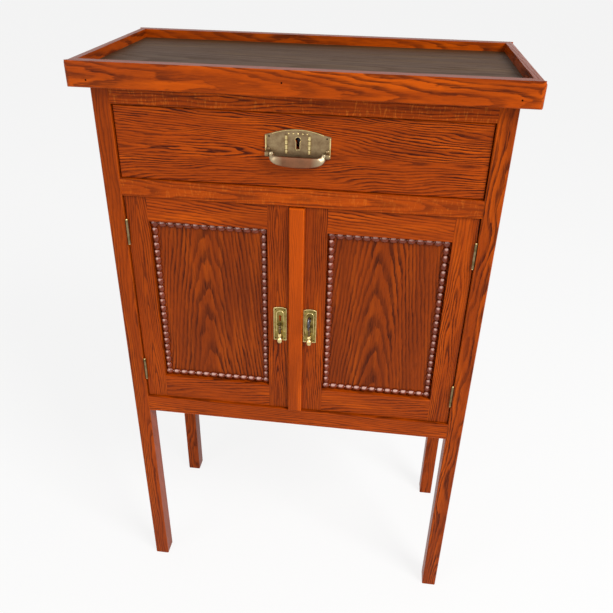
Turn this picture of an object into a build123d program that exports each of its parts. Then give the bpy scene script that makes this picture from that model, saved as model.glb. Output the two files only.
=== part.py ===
from build123d import *
import os
from math import cos, pi, sin

# Hallway cabinet of stained oak: four straight legs, a tray top with a raised rim, one drawer
# and a two-door cupboard. The origin is on the floor under the centre of the top.
# X runs to the right, Y to the back and Z up. All sizes are in millimetres.

# Overall sizes
HEIGHT = 1007.0
LEG_SPAN = 590.0
CARCASS_DEPTH = 283.0

# Tray top
SIDE_OVERHANG = 25.0
FRONT_OVERHANG = 22.0
REAR_OVERHANG = 4.0
LIPPING_HEIGHT = 35.5
LIPPING_THICKNESS = 16.0
TRAY_RECESS = 13.5
TOP_CORNER_RADIUS = 8.0
TOP_ARRIS = 8.0
UNDER_ARRIS = 2.5

# Legs, and the rails that are tenoned into them
LEG_WIDTH = 26.0
LEG_DEPTH = 30.0
LEG_ARRIS = 1.2
TOP_RAIL_HEIGHT = 26.0
DRAWER_OPENING_HEIGHT = 110.0
MIDDLE_RAIL_HEIGHT = 27.5
DOOR_OPENING_HEIGHT = 385.0
BOTTOM_RAIL_HEIGHT = 33.0
RAIL_THICKNESS = 22.0
RAIL_SETBACK = 1.0
MIDDLE_RAIL_DEPTH = 45.0
TENON_LENGTH = 12.0
TENON_THICKNESS = 8.0
TENON_SHOULDER = 4.0

# Sides and back, each two rails with a thin panel in a groove
SIDE_RAIL_HEIGHT = 48.0
SIDE_RAIL_THICKNESS = 18.0
SIDE_SETBACK = 2.0
SIDE_PANEL_THICKNESS = 6.0
BACK_PANEL_THICKNESS = 5.0
PANEL_GROOVE = 6.0

# Boards inside the cupboard
STOP_GAP = 0.3
STOP_LIP = 6.0
FLOOR_THICKNESS = 12.0
CEILING_THICKNESS = 6.0
CLEAT = 15.0
SHELF_UP = 187.0
SHELF_THICKNESS = 12.0
SHELF_SETBACK = 8.0
SHELF_PLAY = 0.5

# Drawer and what it runs on
RUNNER_WIDTH = 24.0
GUIDE_HEIGHT = 30.0
KICKER_WIDTH = 20.0
DRAWER_RECESS = 4.5
DRAWER_GAP = 1.5
DRAWER_BOTTOM_GAP = 1.0
DRAWER_RUNNING_GAP = 0.3
DRAWER_FRONT_THICKNESS = 20.0
DRAWER_SIDE_THICKNESS = 12.0
DRAWER_SIDE_DROP = 1.0
DRAWER_REAR_GAP = 9.0
DRAWER_BACK_DROP = 15.0
DRAWER_BACK_INSET = 6.0
DRAWER_HOUSING = 4.0
DRAWER_BOTTOM_THICKNESS = 5.0
DRAWER_BOTTOM_RAISE = 8.0
DRAWER_GROOVE = 5.0
TAIL_COUNT = 3
TAIL_LENGTH = 13.0
TAIL_ROOT_SHARE = 0.56
TAIL_FLARE = 2.2
DRAWER_STOP_X = 150.0
DRAWER_STOP_SIZE = (30.0, 17.0, 5.0)
BOARD_ARRIS = 1.0

# Doors
DOOR_THICKNESS = 18.0
DOOR_RECESS = 5.0
DOOR_GAP = 1.5
HINGE_STILE_WIDTH = 34.5
LEFT_MEETING_STILE_WIDTH = 33.0
RIGHT_MEETING_STILE_SHOWN = 35.0
DOOR_TOP_RAIL_HEIGHT = 39.5
DOOR_BOTTOM_RAIL_HEIGHT = 45.5
DOOR_TENON_LENGTH = 22.0
DOOR_TENON_THICKNESS = 5.0
DOOR_TENON_SHOULDER = 8.0
DOOR_PANEL_RECESS = 9.0
DOOR_PANEL_THICKNESS = 5.0
DOOR_GROOVE = 6.0
STRIP_WIDTH = 23.0
STRIP_THICKNESS = 8.0
STRIP_ARRIS = 1.5

# Half-round bead moulding round each door panel
BEAD_WIDTH = 11.0
BEAD_RISE = 5.0
BEAD_NECK = 0.5
BEAD_PITCH = 12.5
BEAD_SHOULDER = 0.27
BEAD_SIDES = 3

# Lift-off hinges, two on each door, with the pin standing in the lower knuckle
HINGE_LENGTH = 40.0
HINGE_INSET = 39.0
HINGE_REACH = 16.0
BARREL_RADIUS = 2.25
BARREL_CLEARANCE = 0.15
PIN_RADIUS = 1.1
PIN_PLAY = 0.05
LEAF_THICKNESS = 1.2
LEAF_LET_IN = 0.6
KNUCKLE_GAP = 0.2
KNUCKLE_CAP = 3.0
BARREL_ROOM = 0.3
FINIAL_ROOM = 2.4

# Escutcheon plates on the doors, with their drop pulls
PLATE_WIDTH = 22.0
PLATE_HEIGHT = 64.0
PLATE_ARCH = 2.0
PLATE_THICKNESS = 1.2
PLATE_UP = 177.0
LEFT_PLATE_MARGIN = 2.0
RIGHT_PLATE_MARGIN = 0.5
DROP_LENGTH = 32.0
DROP_COLLAR_SPAN = (14.5, 18.5)
DROP_BELL_SPAN = (22.5, 24.5)
DROP_PIVOT_DOWN = 2.0
DROP_PIVOT_OUT = 5.2
DROP_EYE_RADIUS = 2.8
DROP_PIN_RADIUS = 0.9
DROP_PIN_PLAY = 0.08
DROP_SIDE_PLAY = 0.2
DROP_EAR_THICKNESS = 1.4
DROP_STEM_RADIUS = 2.2
DROP_COLLAR_RADIUS = 3.6
DROP_BELL_RADIUS = 4.4

# Keyholes, door lock and key
KEY_UP = 14.0
KEY_STEM_RADIUS = 2.0
KEY_LOCK_PLAY = 0.5
KEY_REACH = 24.5
KEY_BOW_LENGTH = 18.0
KEY_BOW_HEIGHT = 24.0
KEY_BOW_THICKNESS = 3.0
KEY_BOW_RIM = 4.0
KEY_BIT_DROP = 8.0
KEY_BIT_WIDTH = 2.4
KEY_BIT_DEPTH = 3.0
LOCK_DEPTH = 11.0
LOCK_WALL = 1.5
DOOR_LOCK_WIDTH = 50.0
DOOR_LOCK_HEIGHT = 44.0
DOOR_BOLT_HEIGHT = 14.0
BOLT_THICKNESS = 3.5
BOLT_PLAY = 0.2
BOLT_TRAVEL = 7.0
BOLT_ROOM = 1.5
STRIKE_THICKNESS = 1.2
STRIKE_MARGIN = 8.0

# Drawer lock
DRAWER_KEYHOLE_RADIUS = 3.85
DRAWER_KEYHOLE_SLOT = 4.6
DRAWER_KEYHOLE_DROP = 13.0
DRAWER_LOCK_WIDTH = 50.0
DRAWER_LOCK_HEIGHT = 55.0
DRAWER_BOLT_WIDTH = 20.0
DRAWER_BOLT_HEIGHT = 26.0

# Flat slide bolt inside the left door, at the top
SLIDE_PLATE_WIDTH = 16.0
SLIDE_PLATE_HEIGHT = 44.0
SLIDE_PLATE_THICKNESS = 2.0
SLIDE_BAR_WIDTH = 6.0
SLIDE_BAR_THICKNESS = 4.0
SLIDE_BAR_LENGTH = 40.0
SLIDE_STRAP_WALL = 1.4
SLIDE_STRAP_HEIGHT = 5.0
SLIDE_STRAP_INSET = 6.0
SLIDE_KNOB_RADIUS = 2.5
SLIDE_KNOB_LENGTH = 6.5
SLIDE_PLAY = 0.15
SLIDE_ROOM = 0.3

# Drawer pull: plate, ears and bail
PULL_WIDTH = 94.0
PULL_UP = 47.5
PULL_SIDE_HEIGHT = 31.0
PULL_HEIGHT = 40.0
PULL_SHOULDER_WIDTH = 9.0
PULL_SHOULDER_RISE = 2.0
PULL_THICKNESS = 1.4
PULL_CORNER_RADIUS = 3.0
PULL_RIB_X = 16.5
PULL_RIB_RADIUS = 1.6
PULL_RIB_SPAN = (5.0, 32.0)
PULL_KEY_UP = 25.0
EAR_X = 43.5
EAR_THICKNESS = 5.0
EAR_RADIUS = 4.2
BAIL_PIVOT_UP = 5.0
BAIL_PIVOT_OUT = 5.6
BAIL_PIN_RADIUS = 1.25
BAIL_PIN_PLAY = 0.08
BAIL_SIDE_PLAY = 0.4
BAIL_ARM_WIDTH = 3.6
BAIL_THICKNESS = 3.2
BAIL_OUT = 8.5
BAIL_DROP = 18.0
BAIL_GRIP_TOP = 6.5

# Places worked out from the sizes above
TOP_WIDTH = LEG_SPAN + 2 * SIDE_OVERHANG
TOP_DEPTH = CARCASS_DEPTH + FRONT_OVERHANG + REAR_OVERHANG
FRONT_Y = FRONT_OVERHANG - TOP_DEPTH / 2
BACK_Y = FRONT_Y + CARCASS_DEPTH
LEG_OUT_X = LEG_SPAN / 2
LEG_IN_X = LEG_OUT_X - LEG_WIDTH
LEG_BACK_Y = FRONT_Y + LEG_DEPTH
REAR_LEG_Y = BACK_Y - LEG_DEPTH
TOP_UNDERSIDE = HEIGHT - LIPPING_HEIGHT
DRAWER_TOP_Z = TOP_UNDERSIDE - TOP_RAIL_HEIGHT
DRAWER_FLOOR_Z = DRAWER_TOP_Z - DRAWER_OPENING_HEIGHT
DOOR_TOP_Z = DRAWER_FLOOR_Z - MIDDLE_RAIL_HEIGHT
DOOR_FLOOR_Z = DOOR_TOP_Z - DOOR_OPENING_HEIGHT
RAIL_BOTTOM_Z = DOOR_FLOOR_Z - BOTTOM_RAIL_HEIGHT
RAIL_FRONT_Y = FRONT_Y + RAIL_SETBACK
RAIL_BACK_Y = RAIL_FRONT_Y + RAIL_THICKNESS
FRONT_TENON_Y = (
    (RAIL_FRONT_Y + RAIL_BACK_Y - TENON_THICKNESS) / 2,
    (RAIL_FRONT_Y + RAIL_BACK_Y + TENON_THICKNESS) / 2,
)
SIDE_RAIL_X = (LEG_OUT_X - SIDE_SETBACK - SIDE_RAIL_THICKNESS, LEG_OUT_X - SIDE_SETBACK)
SIDE_MIDDLE_X = sum(SIDE_RAIL_X) / 2
SIDE_PANEL_X = (SIDE_MIDDLE_X - SIDE_PANEL_THICKNESS / 2, SIDE_MIDDLE_X + SIDE_PANEL_THICKNESS / 2)
BACK_RAIL_Y = (BACK_Y - SIDE_SETBACK - SIDE_RAIL_THICKNESS, BACK_Y - SIDE_SETBACK)
BACK_MIDDLE_Y = sum(BACK_RAIL_Y) / 2
BACK_PANEL_Y = (BACK_MIDDLE_Y - BACK_PANEL_THICKNESS / 2, BACK_MIDDLE_Y + BACK_PANEL_THICKNESS / 2)
UPPER_RAIL_Z = (TOP_UNDERSIDE - SIDE_RAIL_HEIGHT, TOP_UNDERSIDE)
LOWER_RAIL_Z = (RAIL_BOTTOM_Z, RAIL_BOTTOM_Z + SIDE_RAIL_HEIGHT)
INFILL_Z = (LOWER_RAIL_Z[1] - PANEL_GROOVE, UPPER_RAIL_Z[0] + PANEL_GROOVE)
DOOR_FACE_Y = FRONT_Y + DOOR_RECESS
DOOR_BACK_Y = DOOR_FACE_Y + DOOR_THICKNESS
STOP_Y = DOOR_BACK_Y + STOP_GAP
DOOR_Z = (DOOR_FLOOR_Z + DOOR_GAP, DOOR_TOP_Z - DOOR_GAP)
DOOR_OUT_X = LEG_IN_X - DOOR_GAP
RIGHT_CLOSING_X = -STRIP_WIDTH / 2
LEFT_CLOSING_X = RIGHT_CLOSING_X - DOOR_GAP
PANEL_FACE_Y = DOOR_FACE_Y + DOOR_PANEL_RECESS
CEILING_Z = (DOOR_TOP_Z - CEILING_THICKNESS, DOOR_TOP_Z)
FLOOR_TOP_Z = DOOR_FLOOR_Z + STOP_LIP
DRAWER_FACE_Y = FRONT_Y + DRAWER_RECESS
DRAWER_FRONT_Y = (DRAWER_FACE_Y, DRAWER_FACE_Y + DRAWER_FRONT_THICKNESS)
DRAWER_FRONT_Z = (DRAWER_FLOOR_Z + DRAWER_BOTTOM_GAP, DRAWER_TOP_Z - DRAWER_GAP)
DRAWER_OUT_X = LEG_IN_X - DRAWER_GAP
PLATE_Z = DOOR_FLOOR_Z + PLATE_UP
PULL_Z = DRAWER_FLOOR_Z + PULL_UP
SHELF_TOP_Z = DOOR_FLOOR_Z + SHELF_UP
DRAWER_IN_X = DRAWER_OUT_X - DRAWER_SIDE_THICKNESS
DRAWER_SIDE_Z = (DRAWER_FLOOR_Z + DRAWER_RUNNING_GAP, DRAWER_FRONT_Z[1] - DRAWER_SIDE_DROP)
DRAWER_END_Y = BACK_PANEL_Y[0] - DRAWER_REAR_GAP
DRAWER_BOTTOM_Z = (
    DRAWER_SIDE_Z[0] + DRAWER_BOTTOM_RAISE,
    DRAWER_SIDE_Z[0] + DRAWER_BOTTOM_RAISE + DRAWER_BOTTOM_THICKNESS,
)
DRAWER_BACK_Y = (
    DRAWER_END_Y - DRAWER_BACK_INSET - DRAWER_SIDE_THICKNESS,
    DRAWER_END_Y - DRAWER_BACK_INSET,
)
LEFT_PLATE_X = LEFT_CLOSING_X - LEFT_PLATE_MARGIN - PLATE_WIDTH / 2
RIGHT_PLATE_X = RIGHT_CLOSING_X + STRIP_WIDTH + RIGHT_PLATE_MARGIN + PLATE_WIDTH / 2
PLATE_FACE_Y = DOOR_FACE_Y - PLATE_THICKNESS
DROP_Z = PLATE_Z - DROP_PIVOT_DOWN
DROP_Y = PLATE_FACE_Y - DROP_PIVOT_OUT
KEY_Z = PLATE_Z + KEY_UP
HINGE_X = LEG_IN_X + LEAF_LET_IN - BARREL_RADIUS
HINGE_Y = DOOR_FACE_Y - BARREL_RADIUS - BARREL_CLEARANCE
LEAF_START_Y = HINGE_Y + BARREL_RADIUS + BARREL_CLEARANCE
HINGE_LOW_Z = (DOOR_Z[0] + HINGE_INSET, DOOR_Z[1] - HINGE_INSET - HINGE_LENGTH)
PULL_FACE_Y = DRAWER_FACE_Y - PULL_THICKNESS
PULL_KEY_Z = PULL_Z + PULL_KEY_UP
BAIL_Z = PULL_Z + BAIL_PIVOT_UP
BAIL_Y = PULL_FACE_Y - BAIL_PIVOT_OUT
LEFT_DOOR_MIDDLE_X = LEFT_CLOSING_X - LEFT_MEETING_STILE_WIDTH / 2
SLIDE_BAR_Y = (
    DOOR_BACK_Y + SLIDE_PLATE_THICKNESS + SLIDE_PLAY,
    DOOR_BACK_Y + SLIDE_PLATE_THICKNESS + SLIDE_PLAY + SLIDE_BAR_THICKNESS,
)
SLIDE_BAR_Z = (CEILING_Z[0] - SLIDE_ROOM - SLIDE_BAR_LENGTH, CEILING_Z[0] - SLIDE_ROOM)


# Shapes that the pieces share


def block(x, y, z):
    """A squared board between a low and a high value on each axis."""
    spans = [(min(span), max(span)) for span in (x, y, z)]
    middle = [(low + high) / 2 for low, high in spans]
    return Pos(*middle) * Box(*(high - low for low, high in spans))


def widened(span, amount):
    """The same span with some room added at both ends."""
    return min(span) - amount, max(span) + amount


def mirrored(solid):
    """The same piece on the other side of the cabinet."""
    return mirror(solid, about=Plane.YZ)


def pair(solid):
    """A piece on the right and its twin on the left."""
    return [solid, mirrored(solid)]


def rod(x, z, radius, y):
    """A round bar along Y through x, z."""
    turned = Plane(origin=(x, min(y), z), z_dir=(0, 1, 0))
    return extrude(turned * Circle(radius), max(y) - min(y))


def pin(x, y, radius, z):
    """An upright round bar through x, y."""
    return extrude(Plane(origin=(x, y, min(z))) * Circle(radius), max(z) - min(z))


def axle(y, z, radius, x):
    """A round bar along X through y, z."""
    turned = Plane(origin=(min(x), y, z), z_dir=(1, 0, 0))
    return extrude(turned * Circle(radius), max(x) - min(x))


def keyhole(x, z, radius, slot, drop, y):
    """A round hole with a slot below it, cut along Y."""
    return rod(x, z, radius, y) + block((x - slot / 2, x + slot / 2), y, (z - drop, z))


def upright_edges(solid):
    return solid.edges().filter_by(Axis.Z)


def eased(solid, edges, size):
    """The solid with a narrow flat planed along some of its edges."""
    return chamfer(edges, size) if size > 0 else solid


# Tray top


def rim_bar(x, y, along, outward):
    """One straight lipping, rounded along its outer top edge and eased along the lower one."""
    bar = block(x, y, (TOP_UNDERSIDE, HEIGHT))
    bar = fillet(outer_edges(bar, along, outward)[1], TOP_ARRIS)
    return fillet(outer_edges(bar, along, outward)[0], UNDER_ARRIS)


def outer_edges(bar, along, outward):
    """The lower and the upper edge of a bar's outer side."""
    return bar.edges().filter_by(along).sort_by(outward)[-2:].sort_by(Axis.Z)


def tray_top():
    """The board and the four lippings round it, mitred to each other at the corners."""
    half = TOP_WIDTH / 2
    depth = TOP_DEPTH / 2
    board_x = half - LIPPING_THICKNESS
    board_y = depth - LIPPING_THICKNESS
    board = block((-board_x, board_x), (-board_y, board_y), (TOP_UNDERSIDE, HEIGHT - TRAY_RECESS))
    plan = extrude(
        Plane.XY.offset(TOP_UNDERSIDE) * RectangleRounded(TOP_WIDTH, TOP_DEPTH, TOP_CORNER_RADIUS),
        LIPPING_HEIGHT,
    )
    mitre = make_face(Polyline((half - depth, 0), (half, depth), (half, -depth), close=True))
    side_wedge = extrude(Plane.XY.offset(TOP_UNDERSIDE) * mitre, LIPPING_HEIGHT)
    side = rim_bar((board_x, half), (-depth, depth), Axis.Y, Axis.X) & plan & side_wedge
    rear = rim_bar((-half, half), (board_y, depth), Axis.X, Axis.Y) & plan
    rear = rear - side_wedge - mirrored(side_wedge)
    return {
        "tray_board": [board],
        "front_lipping": [mirror(rear, about=Plane.XZ)],
        "rear_lipping": [rear],
        "side_lippings": pair(side),
    }


# Legs, rails and panels of the carcass


def leg_blanks():
    """The four legs before they are mortised: front right, front left, rear right, rear left."""
    blanks = []
    for y in ((FRONT_Y, LEG_BACK_Y), (REAR_LEG_Y, BACK_Y)):
        right = block((LEG_IN_X, LEG_OUT_X), y, (0, TOP_UNDERSIDE))
        right = chamfer(upright_edges(right), LEG_ARRIS)
        blanks += pair(right)
    return blanks


def tenon_bar_x(y, z):
    """A bar whose ends are the tenons of a rail that runs from left to right."""
    reach = LEG_IN_X + TENON_LENGTH
    return block((-reach, reach), y, widened(z, -TENON_SHOULDER))


def tenon_bar_y(z):
    """A bar whose ends are the tenons of a side rail."""
    x = (SIDE_MIDDLE_X - TENON_THICKNESS / 2, SIDE_MIDDLE_X + TENON_THICKNESS / 2)
    return block(x, (LEG_BACK_Y - TENON_LENGTH, REAR_LEG_Y + TENON_LENGTH), widened(z, -TENON_SHOULDER))


def front_rail(z, depth, bar):
    """A rail across the front, its lower front arris planed off, with a tenon at each end."""
    rail = block((-LEG_IN_X, LEG_IN_X), (RAIL_FRONT_Y, RAIL_FRONT_Y + depth), z)
    low_edge = rail.edges().filter_by(Axis.X).sort_by(Axis.Y)[:2].sort_by(Axis.Z)[0]
    return eased(rail, [low_edge], BOARD_ARRIS) + bar


def carcass():
    top_z = (DRAWER_TOP_Z, TOP_UNDERSIDE)
    middle_z = (DOOR_TOP_Z, DRAWER_FLOOR_Z)
    bottom_z = (RAIL_BOTTOM_Z, DOOR_FLOOR_Z)
    front_bars = [tenon_bar_x(FRONT_TENON_Y, z) for z in (top_z, middle_z, bottom_z)]
    back_tenon_y = (BACK_MIDDLE_Y - TENON_THICKNESS / 2, BACK_MIDDLE_Y + TENON_THICKNESS / 2)
    back_bars = [tenon_bar_x(back_tenon_y, z) for z in (UPPER_RAIL_Z, LOWER_RAIL_Z)]
    side_bars = [tenon_bar_y(z) for z in (UPPER_RAIL_Z, LOWER_RAIL_Z)]

    infill_y = (LEG_BACK_Y - PANEL_GROOVE, REAR_LEG_Y + PANEL_GROOVE)
    side_panel = block(SIDE_PANEL_X, infill_y, INFILL_Z)
    infill_x = (-LEG_IN_X - PANEL_GROOVE, LEG_IN_X + PANEL_GROOVE)
    back_panel = block(infill_x, BACK_PANEL_Y, INFILL_Z)

    side_rails = [
        block(SIDE_RAIL_X, (LEG_BACK_Y, REAR_LEG_Y), z) + bar - side_panel
        for z, bar in zip((UPPER_RAIL_Z, LOWER_RAIL_Z), side_bars)
    ]
    back_rails = [
        block((-LEG_IN_X, LEG_IN_X), BACK_RAIL_Y, z) + bar - back_panel
        for z, bar in zip((UPPER_RAIL_Z, LOWER_RAIL_Z), back_bars)
    ]

    gains = [hinge_gain_in_leg(low) for low in HINGE_LOW_Z]
    front_leg, _, rear_leg, _ = leg_blanks()
    front_leg = front_leg - front_bars - side_bars - side_panel - gains
    rear_leg = rear_leg - back_bars - side_bars - side_panel - back_panel

    bolt_slot = block(
        widened(drawer_bolt_x(), BOLT_PLAY),
        widened(drawer_bolt_y(), BOLT_PLAY),
        (DRAWER_TOP_Z, DRAWER_FRONT_Z[1] + BOLT_TRAVEL + BOLT_ROOM),
    )
    return {
        "front_right_leg": [front_leg],
        "front_left_leg": [mirrored(front_leg)],
        "rear_right_leg": [rear_leg],
        "rear_left_leg": [mirrored(rear_leg)],
        "top_rail": [front_rail(top_z, RAIL_THICKNESS, front_bars[0]) - bolt_slot],
        "middle_rail": [front_rail(middle_z, MIDDLE_RAIL_DEPTH, front_bars[1])],
        "bottom_rail": [front_rail(bottom_z, RAIL_THICKNESS, front_bars[2])],
        "upper_side_rails": pair(side_rails[0]),
        "lower_side_rails": pair(side_rails[1]),
        "side_panels": pair(side_panel),
        "back_rails": back_rails,
        "back_panel": [back_panel],
    }


# Boards, cleats and runners inside the carcass


def fittings_inside():
    legs = leg_blanks()
    wall_x = SIDE_PANEL_X[0]
    back_y = BACK_PANEL_Y[0]
    between_legs = (LEG_BACK_Y, REAR_LEG_Y)

    floor_z = (FLOOR_TOP_Z - FLOOR_THICKNESS, FLOOR_TOP_Z)
    floor_x = SIDE_RAIL_X[0]
    floor = block((-floor_x, floor_x), (STOP_Y, BACK_RAIL_Y[0]), floor_z) - legs
    floor_cleat = block((floor_x - CLEAT, floor_x), between_legs, (floor_z[0] - CLEAT, floor_z[0]))

    bar_hole = block(
        widened(slide_bar_x(), SLIDE_PLAY * 2),
        widened(SLIDE_BAR_Y, SLIDE_PLAY * 2),
        CEILING_Z,
    )
    ceiling = block((-wall_x, wall_x), (STOP_Y, back_y), CEILING_Z) - legs - bar_hole

    shelf_z = (SHELF_TOP_Z - SHELF_THICKNESS, SHELF_TOP_Z)
    shelf_x = wall_x - SHELF_PLAY
    shelf_front_y = STOP_Y + SHELF_SETBACK
    shelf = block((-shelf_x, shelf_x), (shelf_front_y, back_y), shelf_z) - legs
    shelf_edge = shelf.edges().filter_by(Axis.X).sort_by(Axis.Y)[:2]
    batten_z = (shelf_z[0] - CLEAT, shelf_z[0])
    batten = block((wall_x - CLEAT, wall_x), (shelf_front_y, REAR_LEG_Y), batten_z)
    batten_toe = batten.edges().filter_by(Axis.X).sort_by(Axis.Y)[:2].sort_by(Axis.Z)[0]

    runner_z = (DOOR_TOP_Z, DRAWER_FLOOR_Z)
    runner_y = (RAIL_FRONT_Y + MIDDLE_RAIL_DEPTH, back_y)
    runner = block((LEG_IN_X - RUNNER_WIDTH, LEG_IN_X), runner_y, runner_z)
    guide = block((LEG_IN_X, wall_x), between_legs, (DOOR_TOP_Z, DRAWER_FLOOR_Z + GUIDE_HEIGHT))
    kicker_y = (RAIL_BACK_Y, BACK_RAIL_Y[0])
    kicker = block((LEG_IN_X - KICKER_WIDTH, LEG_IN_X), kicker_y, (DRAWER_TOP_Z, TOP_UNDERSIDE))

    stop_width, stop_depth, stop_height = DRAWER_STOP_SIZE
    stop_y = DRAWER_FRONT_Y[1] + STOP_GAP
    stop = block(
        (DRAWER_STOP_X - stop_width / 2, DRAWER_STOP_X + stop_width / 2),
        (stop_y, stop_y + stop_depth),
        (DRAWER_FLOOR_Z, DRAWER_FLOOR_Z + stop_height),
    )
    return {
        "cupboard_floor": [floor],
        "floor_cleats": pair(floor_cleat),
        "cupboard_ceiling": [ceiling],
        "shelf": [eased(shelf, shelf_edge, BOARD_ARRIS)],
        "shelf_battens": pair(eased(batten, [batten_toe], CLEAT / 2)),
        "drawer_runners": pair(runner + guide),
        "drawer_kickers": pair(kicker),
        "drawer_stops": pair(stop),
    }


# Drawer


def dovetails():
    """The tails on the front end of the right drawer side, flared towards their ends."""
    pitch = (DRAWER_SIDE_Z[1] - DRAWER_FRONT_Z[0]) / TAIL_COUNT
    half_root = pitch * TAIL_ROOT_SHARE / 2
    half_end = half_root + TAIL_FLARE
    root_y = DRAWER_FRONT_Y[1]
    end_y = root_y - TAIL_LENGTH
    tails = []
    for index in range(TAIL_COUNT):
        z = DRAWER_FRONT_Z[0] + (index + 0.5) * pitch
        outline = Polyline(
            (root_y, z - half_root),
            (end_y, z - half_end),
            (end_y, z + half_end),
            (root_y, z + half_root),
            close=True,
        )
        face = Plane.YZ.offset(DRAWER_IN_X) * make_face(outline)
        tails.append(extrude(face, DRAWER_SIDE_THICKNESS))
    return tails


def drawer_bolt_x():
    return -DRAWER_BOLT_WIDTH / 2, DRAWER_BOLT_WIDTH / 2


def drawer_bolt_y():
    middle = DRAWER_FRONT_Y[1] - LOCK_DEPTH / 2
    return middle - BOLT_THICKNESS / 2, middle + BOLT_THICKNESS / 2


def drawer():
    tails = dovetails()
    bottom_reach = DRAWER_IN_X + DRAWER_GROOVE
    bottom_y = (DRAWER_FRONT_Y[1] - DRAWER_GROOVE, DRAWER_END_Y)
    bottom = block((-bottom_reach, bottom_reach), bottom_y, DRAWER_BOTTOM_Z)
    back_reach = DRAWER_IN_X + DRAWER_HOUSING
    back_z = (DRAWER_BOTTOM_Z[1], DRAWER_SIDE_Z[1] - DRAWER_BACK_DROP)
    back = block((-back_reach, back_reach), DRAWER_BACK_Y, back_z)
    side_y = (DRAWER_FRONT_Y[1], DRAWER_END_Y)
    side = block((DRAWER_IN_X, DRAWER_OUT_X), side_y, DRAWER_SIDE_Z) + tails - bottom - back

    lock_x = (-DRAWER_LOCK_WIDTH / 2, DRAWER_LOCK_WIDTH / 2)
    lock_y = (DRAWER_FRONT_Y[1] - LOCK_DEPTH, DRAWER_FRONT_Y[1])
    lock_z = (DRAWER_FRONT_Z[1] - DRAWER_LOCK_HEIGHT, DRAWER_FRONT_Z[1])
    lock_block = block(lock_x, lock_y, lock_z)
    hole_y = (PULL_FACE_Y, lock_y[0] + LOCK_WALL)
    hole = keyhole(
        0, PULL_KEY_Z, DRAWER_KEYHOLE_RADIUS, DRAWER_KEYHOLE_SLOT, DRAWER_KEYHOLE_DROP, hole_y
    )
    bolt_z = (DRAWER_FRONT_Z[1] - DRAWER_BOLT_HEIGHT, DRAWER_FRONT_Z[1])
    bolt = block(drawer_bolt_x(), drawer_bolt_y(), bolt_z)
    hollow = block(*(widened(span, -LOCK_WALL) for span in (lock_x, lock_y, lock_z)))
    bolt_way = block(
        widened(drawer_bolt_x(), BOLT_PLAY), widened(drawer_bolt_y(), BOLT_PLAY), bolt_z
    )
    case = lock_block - hollow - bolt_way - hole

    front = block((-DRAWER_OUT_X, DRAWER_OUT_X), DRAWER_FRONT_Y, DRAWER_FRONT_Z)
    front = eased(front, front.faces().sort_by(Axis.Y)[0].edges(), BOARD_ARRIS)
    front = front - tails - [mirrored(tail) for tail in tails] - bottom - lock_block - hole
    return {
        "drawer_front": [front],
        "drawer_sides": pair(side),
        "drawer_back": [back],
        "drawer_bottom": [bottom],
        "drawer_lock_case": [case],
        "drawer_lock_bolt": [bolt],
        "drawer_pull_plate": [pull_plate(hole)],
        "drawer_pull_bail": [pull_bail()],
    }


def pull_plate(hole):
    """Pressed plate with an arched top, two ribs beside the keyhole and an ear at each end."""
    half = PULL_WIDTH / 2
    shoulder_x = half - PULL_SHOULDER_WIDTH
    shoulder_z = PULL_SIDE_HEIGHT + PULL_SHOULDER_RISE
    edge = Polyline(
        (-shoulder_x, shoulder_z),
        (-half, PULL_SIDE_HEIGHT),
        (-half, 0),
        (half, 0),
        (half, PULL_SIDE_HEIGHT),
        (shoulder_x, shoulder_z),
    )
    arch = ThreePointArc((shoulder_x, shoulder_z), (0, PULL_HEIGHT), (-shoulder_x, shoulder_z))
    face = Plane(origin=(0, DRAWER_FACE_Y, PULL_Z), x_dir=(1, 0, 0), z_dir=(0, -1, 0)) * make_face(
        edge + arch
    )
    plate = extrude(face, PULL_THICKNESS)
    corners = plate.edges().filter_by(Axis.Y).sort_by(Axis.Z)[:2]
    plate = fillet(corners, PULL_CORNER_RADIUS)
    rib_z = [PULL_Z + up for up in PULL_RIB_SPAN]
    rib = pin(PULL_RIB_X, PULL_FACE_Y, PULL_RIB_RADIUS, rib_z)
    rib = rib - block((0, half), (PULL_FACE_Y, DRAWER_FACE_Y + PULL_THICKNESS), rib_z)
    ear_x = (EAR_X - EAR_THICKNESS / 2, EAR_X + EAR_THICKNESS / 2)
    ear_z = (BAIL_Z - EAR_RADIUS, BAIL_Z + EAR_RADIUS)
    ear = axle(BAIL_Y, BAIL_Z, EAR_RADIUS, ear_x) + block(ear_x, (BAIL_Y, PULL_FACE_Y), ear_z)
    bore = axle(BAIL_Y, BAIL_Z, BAIL_PIN_RADIUS + BAIL_PIN_PLAY, (-half, half))
    return plate + pair(rib) + pair(ear) - bore - hole


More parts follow.
